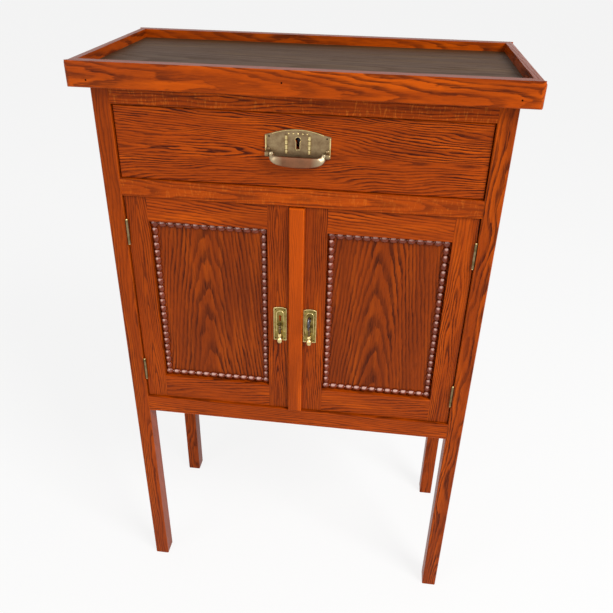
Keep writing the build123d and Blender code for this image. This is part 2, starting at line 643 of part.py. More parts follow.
def pull_bail():
    """Bail with a crescent grip: its front outline cut through a band bent forwards."""
    pin_end = EAR_X + EAR_THICKNESS / 2
    out_x = EAR_X - EAR_THICKNESS / 2 - BAIL_SIDE_PLAY
    in_x = out_x - BAIL_ARM_WIDTH
    top = BAIL_THICKNESS / 2 + BAIL_PIN_RADIUS
    waist = -BAIL_GRIP_TOP / 2
    outline = (
        Polyline((out_x, waist), (out_x, top), (in_x, top), (in_x, waist))
        + ThreePointArc((in_x, waist), (0, -BAIL_GRIP_TOP), (-in_x, waist))
        + Polyline((-in_x, waist), (-in_x, top), (-out_x, top), (-out_x, waist))
        + ThreePointArc((-out_x, waist), (0, -BAIL_DROP), (out_x, waist))
    )
    front_plane = Plane(origin=(0, BAIL_Y, BAIL_Z), x_dir=(1, 0, 0), z_dir=(0, -1, 0))
    shadow = extrude(front_plane * make_face(outline), BAIL_OUT + 2 * BAIL_THICKNESS, both=True)

    half = BAIL_THICKNESS / 2
    bend_z = -BAIL_GRIP_TOP
    centre_line = FilletPolyline(
        (0, 0, 0),
        (0, -BAIL_OUT, bend_z / 2),
        (0, -BAIL_OUT, -BAIL_DROP),
        radius=BAIL_GRIP_TOP / 2,
    )
    start = Plane(origin=centre_line @ 0, x_dir=(1, 0, 0), z_dir=centre_line % 0)
    band = sweep(start * Rectangle(2 * out_x, BAIL_THICKNESS), path=centre_line)
    band = Pos(0, BAIL_Y, BAIL_Z) * band
    eyes = [axle(BAIL_Y, BAIL_Z, half + BAIL_PIN_RADIUS / 2, x) for x in ((in_x, out_x), (-out_x, -in_x))]
    pins = [axle(BAIL_Y, BAIL_Z, BAIL_PIN_RADIUS, x) for x in ((in_x, pin_end), (-pin_end, -in_x))]
    return (band & shadow) + eyes + pins


# Hinges


def hinge_gain_in_leg(low_z):
    """Shallow housing in a front leg for a hinge leaf, deeper in front for the barrel."""
    z = (low_z, low_z + HINGE_LENGTH)
    leaf = block((LEG_IN_X - LEAF_LET_IN, LEG_IN_X + LEAF_LET_IN), (LEAF_START_Y, HINGE_Y + HINGE_REACH), z)
    barrel_x = (LEG_IN_X - BARREL_ROOM, LEG_IN_X + LEAF_LET_IN + BARREL_ROOM)
    barrel = block(barrel_x, (FRONT_Y - LEG_ARRIS, LEAF_START_Y), widened(z, FINIAL_ROOM))
    return leaf + barrel


def hinge_gain_in_door(low_z):
    """Shallow housing in the right door's edge for a hinge leaf."""
    z = (low_z, low_z + HINGE_LENGTH)
    x = (DOOR_OUT_X - LEAF_LET_IN, DOOR_OUT_X + LEAF_LET_IN)
    return block(x, (DOOR_FACE_Y, HINGE_Y + HINGE_REACH), z)


def knuckle_spans(low_z):
    """The two knuckles along the barrel: the leg's leaf has the lower one, the door's the upper one."""
    middle = low_z + HINGE_LENGTH / 2
    return (low_z, middle - KNUCKLE_GAP / 2), (middle + KNUCKLE_GAP / 2, low_z + HINGE_LENGTH)


def hinge_leaf(leaf_x, low_z, knuckle, bore):
    """A leaf with its knuckle, bored for the pin."""
    leaf = block(leaf_x, (LEAF_START_Y, HINGE_Y + HINGE_REACH), (low_z, low_z + HINGE_LENGTH))
    leaf = leaf + pin(HINGE_X, HINGE_Y, BARREL_RADIUS, knuckle)
    leaf = leaf + block(leaf_x, (HINGE_Y, LEAF_START_Y), knuckle)
    return leaf - pin(HINGE_X, HINGE_Y, PIN_RADIUS + PIN_PLAY, bore)


def frame_leaf(low_z):
    x = (LEG_IN_X + LEAF_LET_IN - LEAF_THICKNESS, LEG_IN_X + LEAF_LET_IN)
    lower, _ = knuckle_spans(low_z)
    return hinge_leaf(x, low_z, lower, lower)


def door_leaf(low_z):
    x = (DOOR_OUT_X - LEAF_LET_IN, DOOR_OUT_X - LEAF_LET_IN + LEAF_THICKNESS)
    _, upper = knuckle_spans(low_z)
    return hinge_leaf(x, low_z, upper, (upper[0], upper[1] - KNUCKLE_CAP))


def hinge_pin(low_z):
    """The pin, from the foot of the lower knuckle to near the end of the upper one's bore."""
    high_z = low_z + HINGE_LENGTH - KNUCKLE_CAP - KNUCKLE_GAP
    return pin(HINGE_X, HINGE_Y, PIN_RADIUS, (low_z, high_z))


def hinges():
    return {
        "frame_hinge_leaves": [leaf for low in HINGE_LOW_Z for leaf in pair(frame_leaf(low))],
        "right_door_hinge_leaves": [door_leaf(low) for low in HINGE_LOW_Z],
        "left_door_hinge_leaves": [mirrored(door_leaf(low)) for low in HINGE_LOW_Z],
        "hinge_pins": [part for low in HINGE_LOW_Z for part in pair(hinge_pin(low))],
    }


# Doors


def bead_outline(count, pitch, full):
    """How far the string reaches from its middle line, from neck to neck over each bead."""
    points = [((BEAD_WIDTH - pitch) / 2, full * BEAD_NECK)]
    for index in range(count):
        centre = BEAD_WIDTH / 2 + index * pitch
        points += [(centre - BEAD_SHOULDER * pitch, full), (centre + BEAD_SHOULDER * pitch, full)]
        points.append((centre + pitch / 2, full * BEAD_NECK))
    return points


def bead_string(length):
    """A string of half-round beads along X, seated on y = 0 and mitred at both ends.

    It is what a faceted half-round bar has in common with the beads' side view and their plan.
    """
    count = round((length - BEAD_WIDTH) / BEAD_PITCH) + 1
    pitch = (length - BEAD_WIDTH) / (count - 1)
    half = BEAD_WIDTH / 2
    side = bead_outline(count, pitch, BEAD_RISE)
    plan = bead_outline(count, pitch, half)
    ends = side[0][0], side[-1][0]
    side_face = make_face(
        Polyline((ends[0], 0), *[(x, -rise) for x, rise in side], (ends[1], 0), close=True)
    )
    plan_face = make_face(Polyline(*plan, *[(x, -reach) for x, reach in reversed(plan)], close=True))
    steps = [pi * index / BEAD_SIDES for index in range(BEAD_SIDES + 1)]
    peak = max(sin(step) for step in steps)
    round_face = make_face(
        Polyline(*[(-BEAD_RISE * sin(step) / peak, half * cos(step)) for step in steps], close=True)
    )
    from_side = extrude(Plane.XY.offset(-half) * side_face, BEAD_WIDTH)
    from_front = extrude(Plane.XZ * plan_face, BEAD_RISE)
    bar = extrude(Plane.YZ.offset(ends[0]) * round_face, ends[1] - ends[0])
    string = Pos(0, 0, half) * (from_side & from_front & bar)
    near = Plane(origin=(0, 0, 0), z_dir=(1, 0, -1))
    far = Plane(origin=(length, 0, 0), z_dir=(-1, 0, -1))
    return split(split(string, bisect_by=near), bisect_by=far)


def beading(x, z):
    """Four mitred strings round a panel opening, seated on the panel."""
    low_x, high_x = min(x), max(x)
    across = bead_string(high_x - low_x)
    upward = bead_string(z[1] - z[0])
    corners = [(low_x, z[0]), (high_x, z[0]), (high_x, z[1]), (low_x, z[1])]
    strings = []
    for index, (corner_x, corner_z) in enumerate(corners):
        string = across if index % 2 == 0 else upward
        strings.append(Pos(corner_x, PANEL_FACE_Y, corner_z) * Rot(0, -90 * index, 0) * string)
    return strings


def door_frame(name, hinge_x, closing_x, meeting_width):
    """Stiles, rails, panel and beading of one door, between its hinge edge and closing edge."""
    toward = 1 if closing_x > hinge_x else -1
    hinge_in_x = hinge_x + toward * HINGE_STILE_WIDTH
    meeting_in_x = closing_x - toward * meeting_width
    y = (DOOR_FACE_Y, DOOR_BACK_Y)
    top_z = (DOOR_Z[1] - DOOR_TOP_RAIL_HEIGHT, DOOR_Z[1])
    bottom_z = (DOOR_Z[0], DOOR_Z[0] + DOOR_BOTTOM_RAIL_HEIGHT)
    opening_x = (min(hinge_in_x, meeting_in_x), max(hinge_in_x, meeting_in_x))
    opening_z = (bottom_z[1], top_z[0])
    panel_y = (PANEL_FACE_Y, PANEL_FACE_Y + DOOR_PANEL_THICKNESS)
    panel = block(widened(opening_x, DOOR_GROOVE), panel_y, widened(opening_z, DOOR_GROOVE))
    middle_y = sum(panel_y) / 2
    tenon_y = (middle_y - DOOR_TENON_THICKNESS / 2, middle_y + DOOR_TENON_THICKNESS / 2)
    bars = [
        block(widened(opening_x, DOOR_TENON_LENGTH), tenon_y, widened(z, -DOOR_TENON_SHOULDER))
        for z in (top_z, bottom_z)
    ]
    rails = [block(opening_x, y, z) + bar - panel for z, bar in zip((top_z, bottom_z), bars)]
    hinge_stile = block((hinge_x, hinge_in_x), y, DOOR_Z) - bars - panel
    meeting_stile = block((meeting_in_x, closing_x), y, DOOR_Z) - bars - panel
    return {
        f"{name}_hinge_stile": [hinge_stile],
        f"{name}_meeting_stile": [meeting_stile],
        f"{name}_rails": rails,
        f"{name}_panel": [panel],
        f"{name}_beading": beading(opening_x, opening_z),
    }


def door_plate(x):
    """Escutcheon plate with an arched top and two ears that hold the drop pull's pin."""
    half = PLATE_WIDTH / 2
    top = PLATE_HEIGHT / 2 - PLATE_ARCH
    low = -PLATE_HEIGHT / 2
    plane = Plane(origin=(x, DOOR_FACE_Y, PLATE_Z), x_dir=(1, 0, 0), z_dir=(0, -1, 0))
    edge = Polyline((-half, top), (-half, low), (half, low), (half, top))
    arch = ThreePointArc((half, top), (0, top + PLATE_ARCH), (-half, top))
    plate = extrude(plane * make_face(edge + arch), PLATE_THICKNESS)

    ear_in = DROP_EYE_RADIUS + DROP_SIDE_PLAY
    ear_out = ear_in + DROP_EAR_THICKNESS
    ear_end = DROP_Y - DROP_PIN_RADIUS - DROP_EAR_THICKNESS / 2
    ear_z = (DROP_Z - DROP_EYE_RADIUS, DROP_Z + DROP_EYE_RADIUS)
    ears = [block((x + side * ear_in, x + side * ear_out), (ear_end, DOOR_FACE_Y), ear_z) for side in (1, -1)]
    pivot = axle(DROP_Y, DROP_Z, DROP_PIN_RADIUS, (x - ear_out, x + ear_out))
    return plate + ears + pivot


def drop_pull(x):
    """Turned drop pull: an eye on the pivot, a stem with a collar, and a bell at the end."""
    collar_top, collar_low = DROP_COLLAR_SPAN
    bell_top, bell_wide = DROP_BELL_SPAN
    radii = [
        (0, 0),
        (DROP_STEM_RADIUS, 0),
        (DROP_STEM_RADIUS, -collar_top),
        (DROP_COLLAR_RADIUS, -collar_top),
        (DROP_COLLAR_RADIUS, -collar_low),
        (DROP_STEM_RADIUS, -collar_low),
        (DROP_STEM_RADIUS, -bell_top),
        (DROP_BELL_RADIUS, -bell_wide),
        (DROP_BELL_RADIUS, -DROP_LENGTH),
        (0, -DROP_LENGTH),
    ]
    half_profile = Plane.XZ * make_face(Polyline(*radii, close=True))
    turned = Pos(x, DROP_Y, DROP_Z) * revolve(half_profile, Axis.Z)
    eye = axle(DROP_Y, DROP_Z, DROP_EYE_RADIUS, (x - DROP_EYE_RADIUS, x + DROP_EYE_RADIUS))
    bore = axle(DROP_Y, DROP_Z, DROP_PIN_RADIUS + DROP_PIN_PLAY, (x - PLATE_WIDTH, x + PLATE_WIDTH))
    return turned + eye - bore


# Lock, key and strike of the doors


def door_lock_spans():
    x = (RIGHT_CLOSING_X, RIGHT_CLOSING_X + DOOR_LOCK_WIDTH)
    y = (DOOR_BACK_Y - LOCK_DEPTH, DOOR_BACK_Y)
    z = (KEY_Z - DOOR_LOCK_HEIGHT / 2, KEY_Z + DOOR_LOCK_HEIGHT / 2)
    return x, y, z


def door_bolt_spans():
    """The bolt's space with the bolt drawn back, in front of the key's bit."""
    lock_x, lock_y, _ = door_lock_spans()
    y_low = lock_y[0] + LOCK_WALL + BOLT_PLAY
    x = (lock_x[0], lock_x[1] - LOCK_WALL - BOLT_ROOM)
    z = (KEY_Z - DOOR_BOLT_HEIGHT / 2, KEY_Z + DOOR_BOLT_HEIGHT / 2)
    return x, (y_low, y_low + BOLT_THICKNESS), z


def door_keyhole(y):
    radius = KEY_STEM_RADIUS + KEY_LOCK_PLAY
    slot = KEY_BIT_WIDTH + 2 * KEY_LOCK_PLAY
    return keyhole(RIGHT_PLATE_X, KEY_Z, radius, slot, KEY_BIT_DROP + KEY_LOCK_PLAY, y)


def door_lock_case():
    lock_x, lock_y, lock_z = door_lock_spans()
    bolt_x, bolt_y, bolt_z = door_bolt_spans()
    hollow = block(*(widened(span, -LOCK_WALL) for span in (lock_x, lock_y, lock_z)))
    bolt_way = block(
        (lock_x[0], bolt_x[1]), widened(bolt_y, BOLT_PLAY), widened(bolt_z, BOLT_PLAY)
    )
    key_way = door_keyhole((lock_y[0], lock_y[0] + LOCK_WALL))
    return block(lock_x, lock_y, lock_z) - hollow - bolt_way - key_way


def door_lock_bolt():
    """Flat bolt with a long slot, so that it passes the key's stem as it slides."""
    x, y, z = door_bolt_spans()
    radius = KEY_STEM_RADIUS + KEY_LOCK_PLAY
    slot = block(
        (RIGHT_PLATE_X - radius, RIGHT_PLATE_X + radius + BOLT_TRAVEL),
        y,
        (KEY_Z - radius, KEY_Z + radius),
    )
    return block(x, y, z) - slot


def door_key():
    """Key with an oval bow, standing in the right door's keyhole."""
    _, lock_y, _ = door_lock_spans()
    _, bolt_y, _ = door_bolt_spans()
    tip_y = lock_y[1] - LOCK_WALL - BOLT_PLAY
    end_y = PLATE_FACE_Y - KEY_REACH
    bow_in_y = end_y + KEY_BOW_LENGTH
    stem = rod(RIGHT_PLATE_X, KEY_Z, KEY_STEM_RADIUS, (bow_in_y - KEY_STEM_RADIUS, tip_y))
    bow_plane = Plane(
        origin=(RIGHT_PLATE_X, end_y + KEY_BOW_LENGTH / 2, KEY_Z), x_dir=(0, 0, 1), z_dir=(1, 0, 0)
    )
    outer = SlotOverall(KEY_BOW_HEIGHT, KEY_BOW_LENGTH)
    inner = SlotOverall(KEY_BOW_HEIGHT - 2 * KEY_BOW_RIM, KEY_BOW_LENGTH - 2 * KEY_BOW_RIM)
    bow = extrude(bow_plane * (outer - inner), KEY_BOW_THICKNESS / 2, both=True)
    bit_y = (bolt_y[1] + BOLT_PLAY, bolt_y[1] + BOLT_PLAY + KEY_BIT_DEPTH)
    bit_x = (RIGHT_PLATE_X - KEY_BIT_WIDTH / 2, RIGHT_PLATE_X + KEY_BIT_WIDTH / 2)
    bit = block(bit_x, bit_y, (KEY_Z - KEY_BIT_DROP, KEY_Z))
    return stem + bow + bit


def strike_pocket():
    """The slot in the left door's edge that the lock's bolt shoots into."""
    _, bolt_y, bolt_z = door_bolt_spans()
    depth = BOLT_TRAVEL - DOOR_GAP + BOLT_ROOM
    x = (LEFT_CLOSING_X - depth, LEFT_CLOSING_X)
    return block(x, widened(bolt_y, BOLT_PLAY), widened(bolt_z, BOLT_PLAY))


def strike_blank():
    _, bolt_y, bolt_z = door_bolt_spans()
    y = (bolt_y[0] - BOLT_ROOM, bolt_y[1] + BOLT_ROOM)
    return block((LEFT_CLOSING_X - STRIKE_THICKNESS, LEFT_CLOSING_X), y, widened(bolt_z, STRIKE_MARGIN))


# Slide bolt inside the left door


def slide_bar_x():
    return LEFT_DOOR_MIDDLE_X - SLIDE_BAR_WIDTH / 2, LEFT_DOOR_MIDDLE_X + SLIDE_BAR_WIDTH / 2


def slide_bolt_plate():
    """Back plate with two straps that the bar slides in."""
    half = SLIDE_PLATE_WIDTH / 2
    x = (LEFT_DOOR_MIDDLE_X - half, LEFT_DOOR_MIDDLE_X + half)
    top = SLIDE_BAR_Z[1] - SLIDE_ROOM
    plate_y = (DOOR_BACK_Y, DOOR_BACK_Y + SLIDE_PLATE_THICKNESS)
    plate = block(x, plate_y, (top - SLIDE_PLATE_HEIGHT, top))
    strap_x = widened(slide_bar_x(), SLIDE_PLAY + SLIDE_STRAP_WALL)
    strap_y = (DOOR_BACK_Y, SLIDE_BAR_Y[1] + SLIDE_PLAY + SLIDE_STRAP_WALL)
    low_z = top - SLIDE_PLATE_HEIGHT + SLIDE_STRAP_INSET
    high_z = top - SLIDE_STRAP_INSET - SLIDE_STRAP_HEIGHT
    straps = [block(strap_x, strap_y, (z, z + SLIDE_STRAP_HEIGHT)) for z in (low_z, high_z)]
    way_y = (SLIDE_BAR_Y[0] - SLIDE_PLAY, SLIDE_BAR_Y[1] + SLIDE_PLAY)
    way = block(widened(slide_bar_x(), SLIDE_PLAY), way_y, (low_z - SLIDE_PLATE_HEIGHT, top))
    return plate + straps - way


def slide_bolt_bar():
    """Flat bar, drawn down, with a knob between the straps."""
    bar = block(slide_bar_x(), SLIDE_BAR_Y, SLIDE_BAR_Z)
    knob_z = sum(SLIDE_BAR_Z) / 2
    knob_y = (SLIDE_BAR_Y[1], SLIDE_BAR_Y[1] + SLIDE_KNOB_LENGTH)
    return bar + rod(LEFT_DOOR_MIDDLE_X, knob_z, SLIDE_KNOB_RADIUS, knob_y)


# The two doors with everything that is fixed to them


def right_door():
    nodes = door_frame(
        "right_door", DOOR_OUT_X, RIGHT_CLOSING_X, STRIP_WIDTH + RIGHT_MEETING_STILE_SHOWN
    )
    gains = [hinge_gain_in_door(low) for low in HINGE_LOW_Z]
    nodes["right_door_hinge_stile"] = [nodes["right_door_hinge_stile"][0] - gains]
    lock_space = block(*door_lock_spans())
    key_way = door_keyhole((DOOR_FACE_Y, DOOR_BACK_Y))
    nodes["right_door_meeting_stile"] = [nodes["right_door_meeting_stile"][0] - lock_space - key_way]
    strip_x = (RIGHT_CLOSING_X, RIGHT_CLOSING_X + STRIP_WIDTH)
    strip = block(strip_x, (DOOR_FACE_Y - STRIP_THICKNESS, DOOR_FACE_Y), DOOR_Z)
    strip = eased(strip, strip.faces().sort_by(Axis.Y)[0].edges(), STRIP_ARRIS)
    nodes["right_door_cover_strip"] = [strip]
    plate_hole = door_keyhole((PLATE_FACE_Y, DOOR_FACE_Y))
    nodes["right_door_plate"] = [door_plate(RIGHT_PLATE_X) - plate_hole]
    nodes["right_door_drop_pull"] = [drop_pull(RIGHT_PLATE_X)]
    nodes["door_lock_case"] = [door_lock_case()]
    nodes["door_lock_bolt"] = [door_lock_bolt()]
    nodes["door_key"] = [door_key()]
    return nodes


def left_door():
    nodes = door_frame("left_door", -DOOR_OUT_X, LEFT_CLOSING_X, LEFT_MEETING_STILE_WIDTH)
    gains = [mirrored(hinge_gain_in_door(low)) for low in HINGE_LOW_Z]
    nodes["left_door_hinge_stile"] = [nodes["left_door_hinge_stile"][0] - gains]
    stile = nodes["left_door_meeting_stile"][0] - strike_pocket() - strike_blank()
    nodes["left_door_meeting_stile"] = [stile]
    nodes["lock_strike"] = [strike_blank() - strike_pocket()]
    nodes["left_door_plate"] = [door_plate(LEFT_PLATE_X)]
    nodes["left_door_drop_pull"] = [drop_pull(LEFT_PLATE_X)]
    nodes["slide_bolt_plate"] = [slide_bolt_plate()]
    nodes["slide_bolt_bar"] = [slide_bolt_bar()]
    return nodes


def main():
    os.makedirs("parts", exist_ok=True)
    nodes = {}
    for group in (tray_top, carcass, fittings_inside, drawer, hinges, left_door, right_door):
        nodes.update(group())
    for name, solids in nodes.items():
        shapes = [solid for part in solids for solid in part.solids()]
        export_step(Compound(shapes) if len(shapes) > 1 else shapes[0], f"parts/{name}.step")


main()
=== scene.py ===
from functools import partial
from math import cos, pi, sin

import bmesh
import bpy
from bpy.props import FloatProperty, FloatVectorProperty, IntProperty, PointerProperty
from mathutils import Matrix, Vector


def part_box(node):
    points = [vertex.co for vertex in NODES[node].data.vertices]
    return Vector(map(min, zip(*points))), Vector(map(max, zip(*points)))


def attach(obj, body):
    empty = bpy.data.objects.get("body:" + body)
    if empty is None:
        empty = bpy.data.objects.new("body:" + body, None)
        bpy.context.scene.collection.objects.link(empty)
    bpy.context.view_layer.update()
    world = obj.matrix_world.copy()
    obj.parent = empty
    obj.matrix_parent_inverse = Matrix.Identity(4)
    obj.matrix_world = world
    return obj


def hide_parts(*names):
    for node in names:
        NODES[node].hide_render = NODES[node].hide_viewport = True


bl_info = {
    "name": "Hallway Cabinet",
    "version": (1, 0, 0),
    "blender": (4, 5, 0),
    "location": "View3D > Sidebar > Cabinet",
    "description": "Dresses a small oak cabinet: wood, beading, plates, pulls, hinges and stage",
    "category": "Object",
}

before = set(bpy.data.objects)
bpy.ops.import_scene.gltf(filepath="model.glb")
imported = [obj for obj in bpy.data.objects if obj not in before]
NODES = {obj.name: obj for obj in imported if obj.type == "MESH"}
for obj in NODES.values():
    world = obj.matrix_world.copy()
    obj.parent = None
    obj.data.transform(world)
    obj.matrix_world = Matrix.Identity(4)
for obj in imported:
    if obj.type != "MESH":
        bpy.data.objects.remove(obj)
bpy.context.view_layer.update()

MM = 0.001
FRONT, BACK = (0, -1, 0), (0, 1, 0)

# A real shellac has about 0.5, but then the white surroundings lay a haze over the wood.
WOOD_SPECULAR = 0.09

# Where the solids carry the fittings, in metres
PULL_FACE = -0.1294
BAIL_PIVOT_Y, BAIL_PIVOT_Z = -0.135, 0.888
DOOR_PLATE_FACE = -0.1287
DOOR_PLATE_MIDDLES = {"left": -0.026, "right": 0.023}
DROP_PIVOT_Y, DROP_PIVOT_Z = -0.1339, 0.598
KEYHOLE_HEIGHT = 0.614
HINGE_X, HINGE_Y = 0.26735, -0.1299
HINGE_FEET = (0.4635, 0.7275)
HINGE_HEIGHT = 0.040
LIPPING_FACE = -0.1545


def linear(hex_colour):
    """An sRGB hex colour as the linear values that Blender works in."""
    parts = [int(hex_colour[i : i + 2], 16) / 255 for i in (1, 3, 5)]
    return tuple(c / 12.92 if c <= 0.04045 else ((c + 0.055) / 1.055) ** 2.4 for c in parts)


def opaque(colour):
    return (*colour[:3], 1.0)


def add_node(tree, kind, links=None, out=0, **settings):
    """Adds one node and returns one of its outputs, or the node itself where out is None.

    Settings are its attributes, and links are sockets or values for its inputs.
    """
    node = tree.nodes.new(kind)
    for name, value in settings.items():
        setattr(node, name, value)
    for key, source in (links or {}).items():
        if isinstance(source, bpy.types.NodeSocket):
            tree.links.new(source, node.inputs[key])
        else:
            node.inputs[key].default_value = source
    return node if out is None else node.outputs[out]


# Settings that a user would change


def swatch(name, description, hex_colour):
    return FloatVectorProperty(
        name=name, description=description, default=linear(hex_colour), subtype="COLOR", min=0, max=1
    )


def length(name, description, default, least):
    """A length given in mm."""
    return FloatProperty(
        name=name, description=description, default=default * MM, min=least * MM, unit="LENGTH"
    )


class CabinetFinish(bpy.types.PropertyGroup):
    oak_colour: swatch("Oak", "Orange-brown ground of the stained and shellacked oak", "#B04604")
    oak_grain_colour: swatch("Oak grain", "Dark stain that has settled in the open pores", "#401204")
    panel_colour: swatch("Door panels", "Redder ground of the thin door panels", "#933A05")
    panel_grain_colour: swatch("Door panel grain", "Dark pores of the door panels", "#3A1206")
    tray_colour: swatch("Tray", "Greyed brown of the worn tray surface", "#4A3019")
    inside_colour: swatch("Inside wood", "Plain wood of the shelf, runners and drawer inside", "#B98A5A")
    bead_colour: swatch("Beading", "Red-brown polish of the bead moulding", "#7A2C08")
    brass_colour: swatch("Brass", "Old brass of the drawer plate and hinges", "#9A8462")
    copper_colour: swatch("Bail", "Reddish metal of the bail where hands have rubbed it", "#8C5E44")
    steel_colour: swatch("Steel", "Dark steel of the key and locks", "#6C6C74")
    ring_width: length("Ring width", "Distance between the growth rings of the oak", 5.5, 1)


class CabinetBeading(bpy.types.PropertyGroup):
    width: length("Width", "Width of a bead", 12.0, 2)
    rise: length("Rise", "How far a bead stands out from the panel", 5.0, 1)
    pitch: length("Pitch", "Distance from bead to bead, fitted to a whole number on each string", 13.0, 2)
    neck: FloatProperty(
        name="Neck",
        description="Width of the cord that the beads sit on, as a share of theirs",
        default=0.38,
        min=0.1,
        max=1.0,
        subtype="FACTOR",
    )


class CabinetFittings(bpy.types.PropertyGroup):
    finial_radius: length("Hinge ball", "Radius of the balls at the ends of the hinge barrels", 1.9, 0.5)
    screw_radius: length("Screw head", "Radius of the countersunk screw heads", 2.4, 0.5)
    nail_radius: length("Nail head", "Radius of the small nail heads in the plates", 1.1, 0.3)
    dot_radius: length("Pressed dots", "Radius of the dots under the drawer plate's arch", 1.3, 0.2)
    dot_count: IntProperty(
        name="Dot count", description="Number of dots under the drawer plate's arch", default=5, min=2
    )


class CabinetStage(bpy.types.PropertyGroup):
    floor_size: FloatProperty(
        name="Floor", description="Side of the square floor", default=30.0, min=2.0, unit="LENGTH"
    )
    sky_strength: FloatProperty(
        name="Room light", description="Strength of the even light all round", default=0.34, min=0.0
    )
    key_power: FloatProperty(
        name="Key light",
        description="Power of the large soft lamp at the upper right",
        default=90.0,
        min=0.0,
        unit="POWER",
    )


# Materials


def blank(name):
    """A new material with an empty node tree."""
    material = bpy.data.materials.new(name)
    material.use_nodes = True
    material.node_tree.nodes.clear()
    return material, material.node_tree


def wood(
    name, axes, light, dark, ring, shift, taper=0.09, pith=0.03, warp=0.010, flecks=0.0, depth=1.0,
    gloss=0.28, worn=0.35, grime=0.0,
):
    """Sawn oak, stained and shellacked.

    The eye sees growth rings cut by the board's face, dark open pores that follow them as
    broken lines, patches where the stain took more or less, arrises rubbed paler and with a
    painted highlight line, and a warm gloss over it all. axes names the world axes across the
    face, through the board and along the grain.
    """
    material, tree = blank(name)
    add = partial(add_node, tree)
    coordinates = add("ShaderNodeTexCoord", out=None).outputs
    moved = add("ShaderNodeMapping", {"Vector": coordinates["Object"], "Location": shift})
    split = add("ShaderNodeSeparateXYZ", {0: moved}, out=None).outputs
    board = add("ShaderNodeCombineXYZ", {i: split["XYZ".index(axis)] for i, axis in enumerate(axes)})

    # For each cloud: how much it is drawn out along the grain, its size in metres, detail and
    # roughness. A real pore is a groove 0.3 mm wide and a few millimetres long, and is drawn
    # four times as coarse to show.
    clouds = {
        "sway": (0.2, 0.045, 2.0, 0.55),
        "ripple": (0.2, 0.010, 3.0, 0.65),
        "years": (0.12, 0.022, 2.0, 0.55),
        "pores": (0.055, 0.0013, 2.0, 0.6),
        "stain": (0.2, 0.05, 3.0, 0.55),
        "streaks": (0.1, 0.02, 2.0, 0.55),
        "wear": (1.0, 0.012, 2.0, 0.55),
    }
    for label, (share, size, detail, roughness) in clouds.items():
        drawn = add("ShaderNodeVectorMath", {0: board, 1: (1, 1, share)}, operation="MULTIPLY")
        clouds[label] = add(
            "ShaderNodeTexNoise",
            {"Vector": drawn, "Scale": 1 / size, "Detail": detail, "Roughness": roughness},
        )

    # For each level: its cloud, the part of it that counts, and the values it runs between.
    # The rings wander by about a centimetre over the width of a hand, and ripple between.
    # Some years are faint and others dark.
    levels = {
        "sway": ("sway", 0.0, 1.0, -warp * 1.3, warp * 1.3),
        "ripple": ("ripple", 0.0, 1.0, -ring * 0.55, ring * 0.55),
        "years": ("years", 0.36, 0.62, 0.40, 1.0),
        "dashes": ("pores", 0.34, 0.54, 0.42, 1.0),
        "scattered": ("pores", 0.50, 0.70, 0.0, 0.45),
        "browner": ("stain", 0.40, 0.68, 0.0, 0.9),
        "paler": ("streaks", 0.50, 0.68, 0.0, 0.85),
        "wear": ("wear", 0.35, 0.6, 0.3, 1.0),
    }
    for label, (cloud, low, high, least, most) in levels.items():
        levels[label] = add(
            "ShaderNodeMapRange",
            {"Value": clouds[cloud], "From Min": low, "From Max": high, "To Min": least, "To Max": most},
        )

    parts = add("ShaderNodeSeparateXYZ", {0: board}, out=None).outputs
    through = add("ShaderNodeMath", {0: parts[1], 1: pith}, operation="ADD")
    section = add("ShaderNodeCombineXYZ", {0: parts[0], 1: through, 2: 0.0})
    radius = add("ShaderNodeVectorMath", {0: section}, out="Value", operation="LENGTH")
    growth = add("ShaderNodeMath", {0: parts[2], 1: taper, 2: radius}, operation="MULTIPLY_ADD")
    for label in ("sway", "ripple"):
        growth = add("ShaderNodeMath", {0: growth, 1: levels[label]}, operation="ADD")
    years = add("ShaderNodeMath", {0: growth, 1: ring}, operation="DIVIDE")
    phase = add("ShaderNodeMath", {0: years}, operation="FRACT")
    band = add("ShaderNodeValToRGB", {0: phase}, out=None)
    ramp = band.color_ramp.elements
    ramp.remove(ramp[-1])
    ramp[0].position, ramp[0].color = 0.0, (0, 0, 0, 1)
    for at, dark_share in ((0.10, 1.0), (0.36, 0.85), (0.62, 0.15), (1.0, 0.0)):
        ramp.new(at).color = (dark_share, dark_share, dark_share, 1)
    grain = band.outputs["Color"]
    for operation, factor in (
        ("MULTIPLY", levels["dashes"]),
        ("MULTIPLY", levels["years"]),
        ("MAXIMUM", levels["scattered"]),
        ("MULTIPLY", depth),
    ):
        grain = add("ShaderNodeMath", {0: grain, 1: factor}, operation=operation)

    def tinted(*shares):
        return tuple(min(1.0, c * share) for c, share in zip(light, shares))

    browner = tuple(0.62 * a + 0.38 * b for a, b in zip(light, dark))
    coats = [(levels["browner"], browner), (levels["paler"], tinted(1.35, 1.5, 1.2))]
    if flecks:
        # Rays of quarter-sawn oak: short pale strokes that cross the grain in curves.
        across = add("ShaderNodeVectorMath", {0: board, 1: (0.3, 1, 1)}, operation="MULTIPLY")
        rays = add(
            "ShaderNodeTexNoise", {"Vector": across, "Scale": 1 / 0.004, "Detail": 1.0, "Distortion": 1.2}
        )
        strokes = add(
            "ShaderNodeMapRange", {"Value": rays, "From Min": 0.57, "From Max": 0.66, "To Max": flecks}
        )
        coats.append((strokes, tuple(min(1.0, a * b + 0.01) for a, b in zip(light, (1.5, 2.3, 2.6)))))
    coats.append((grain, dark))

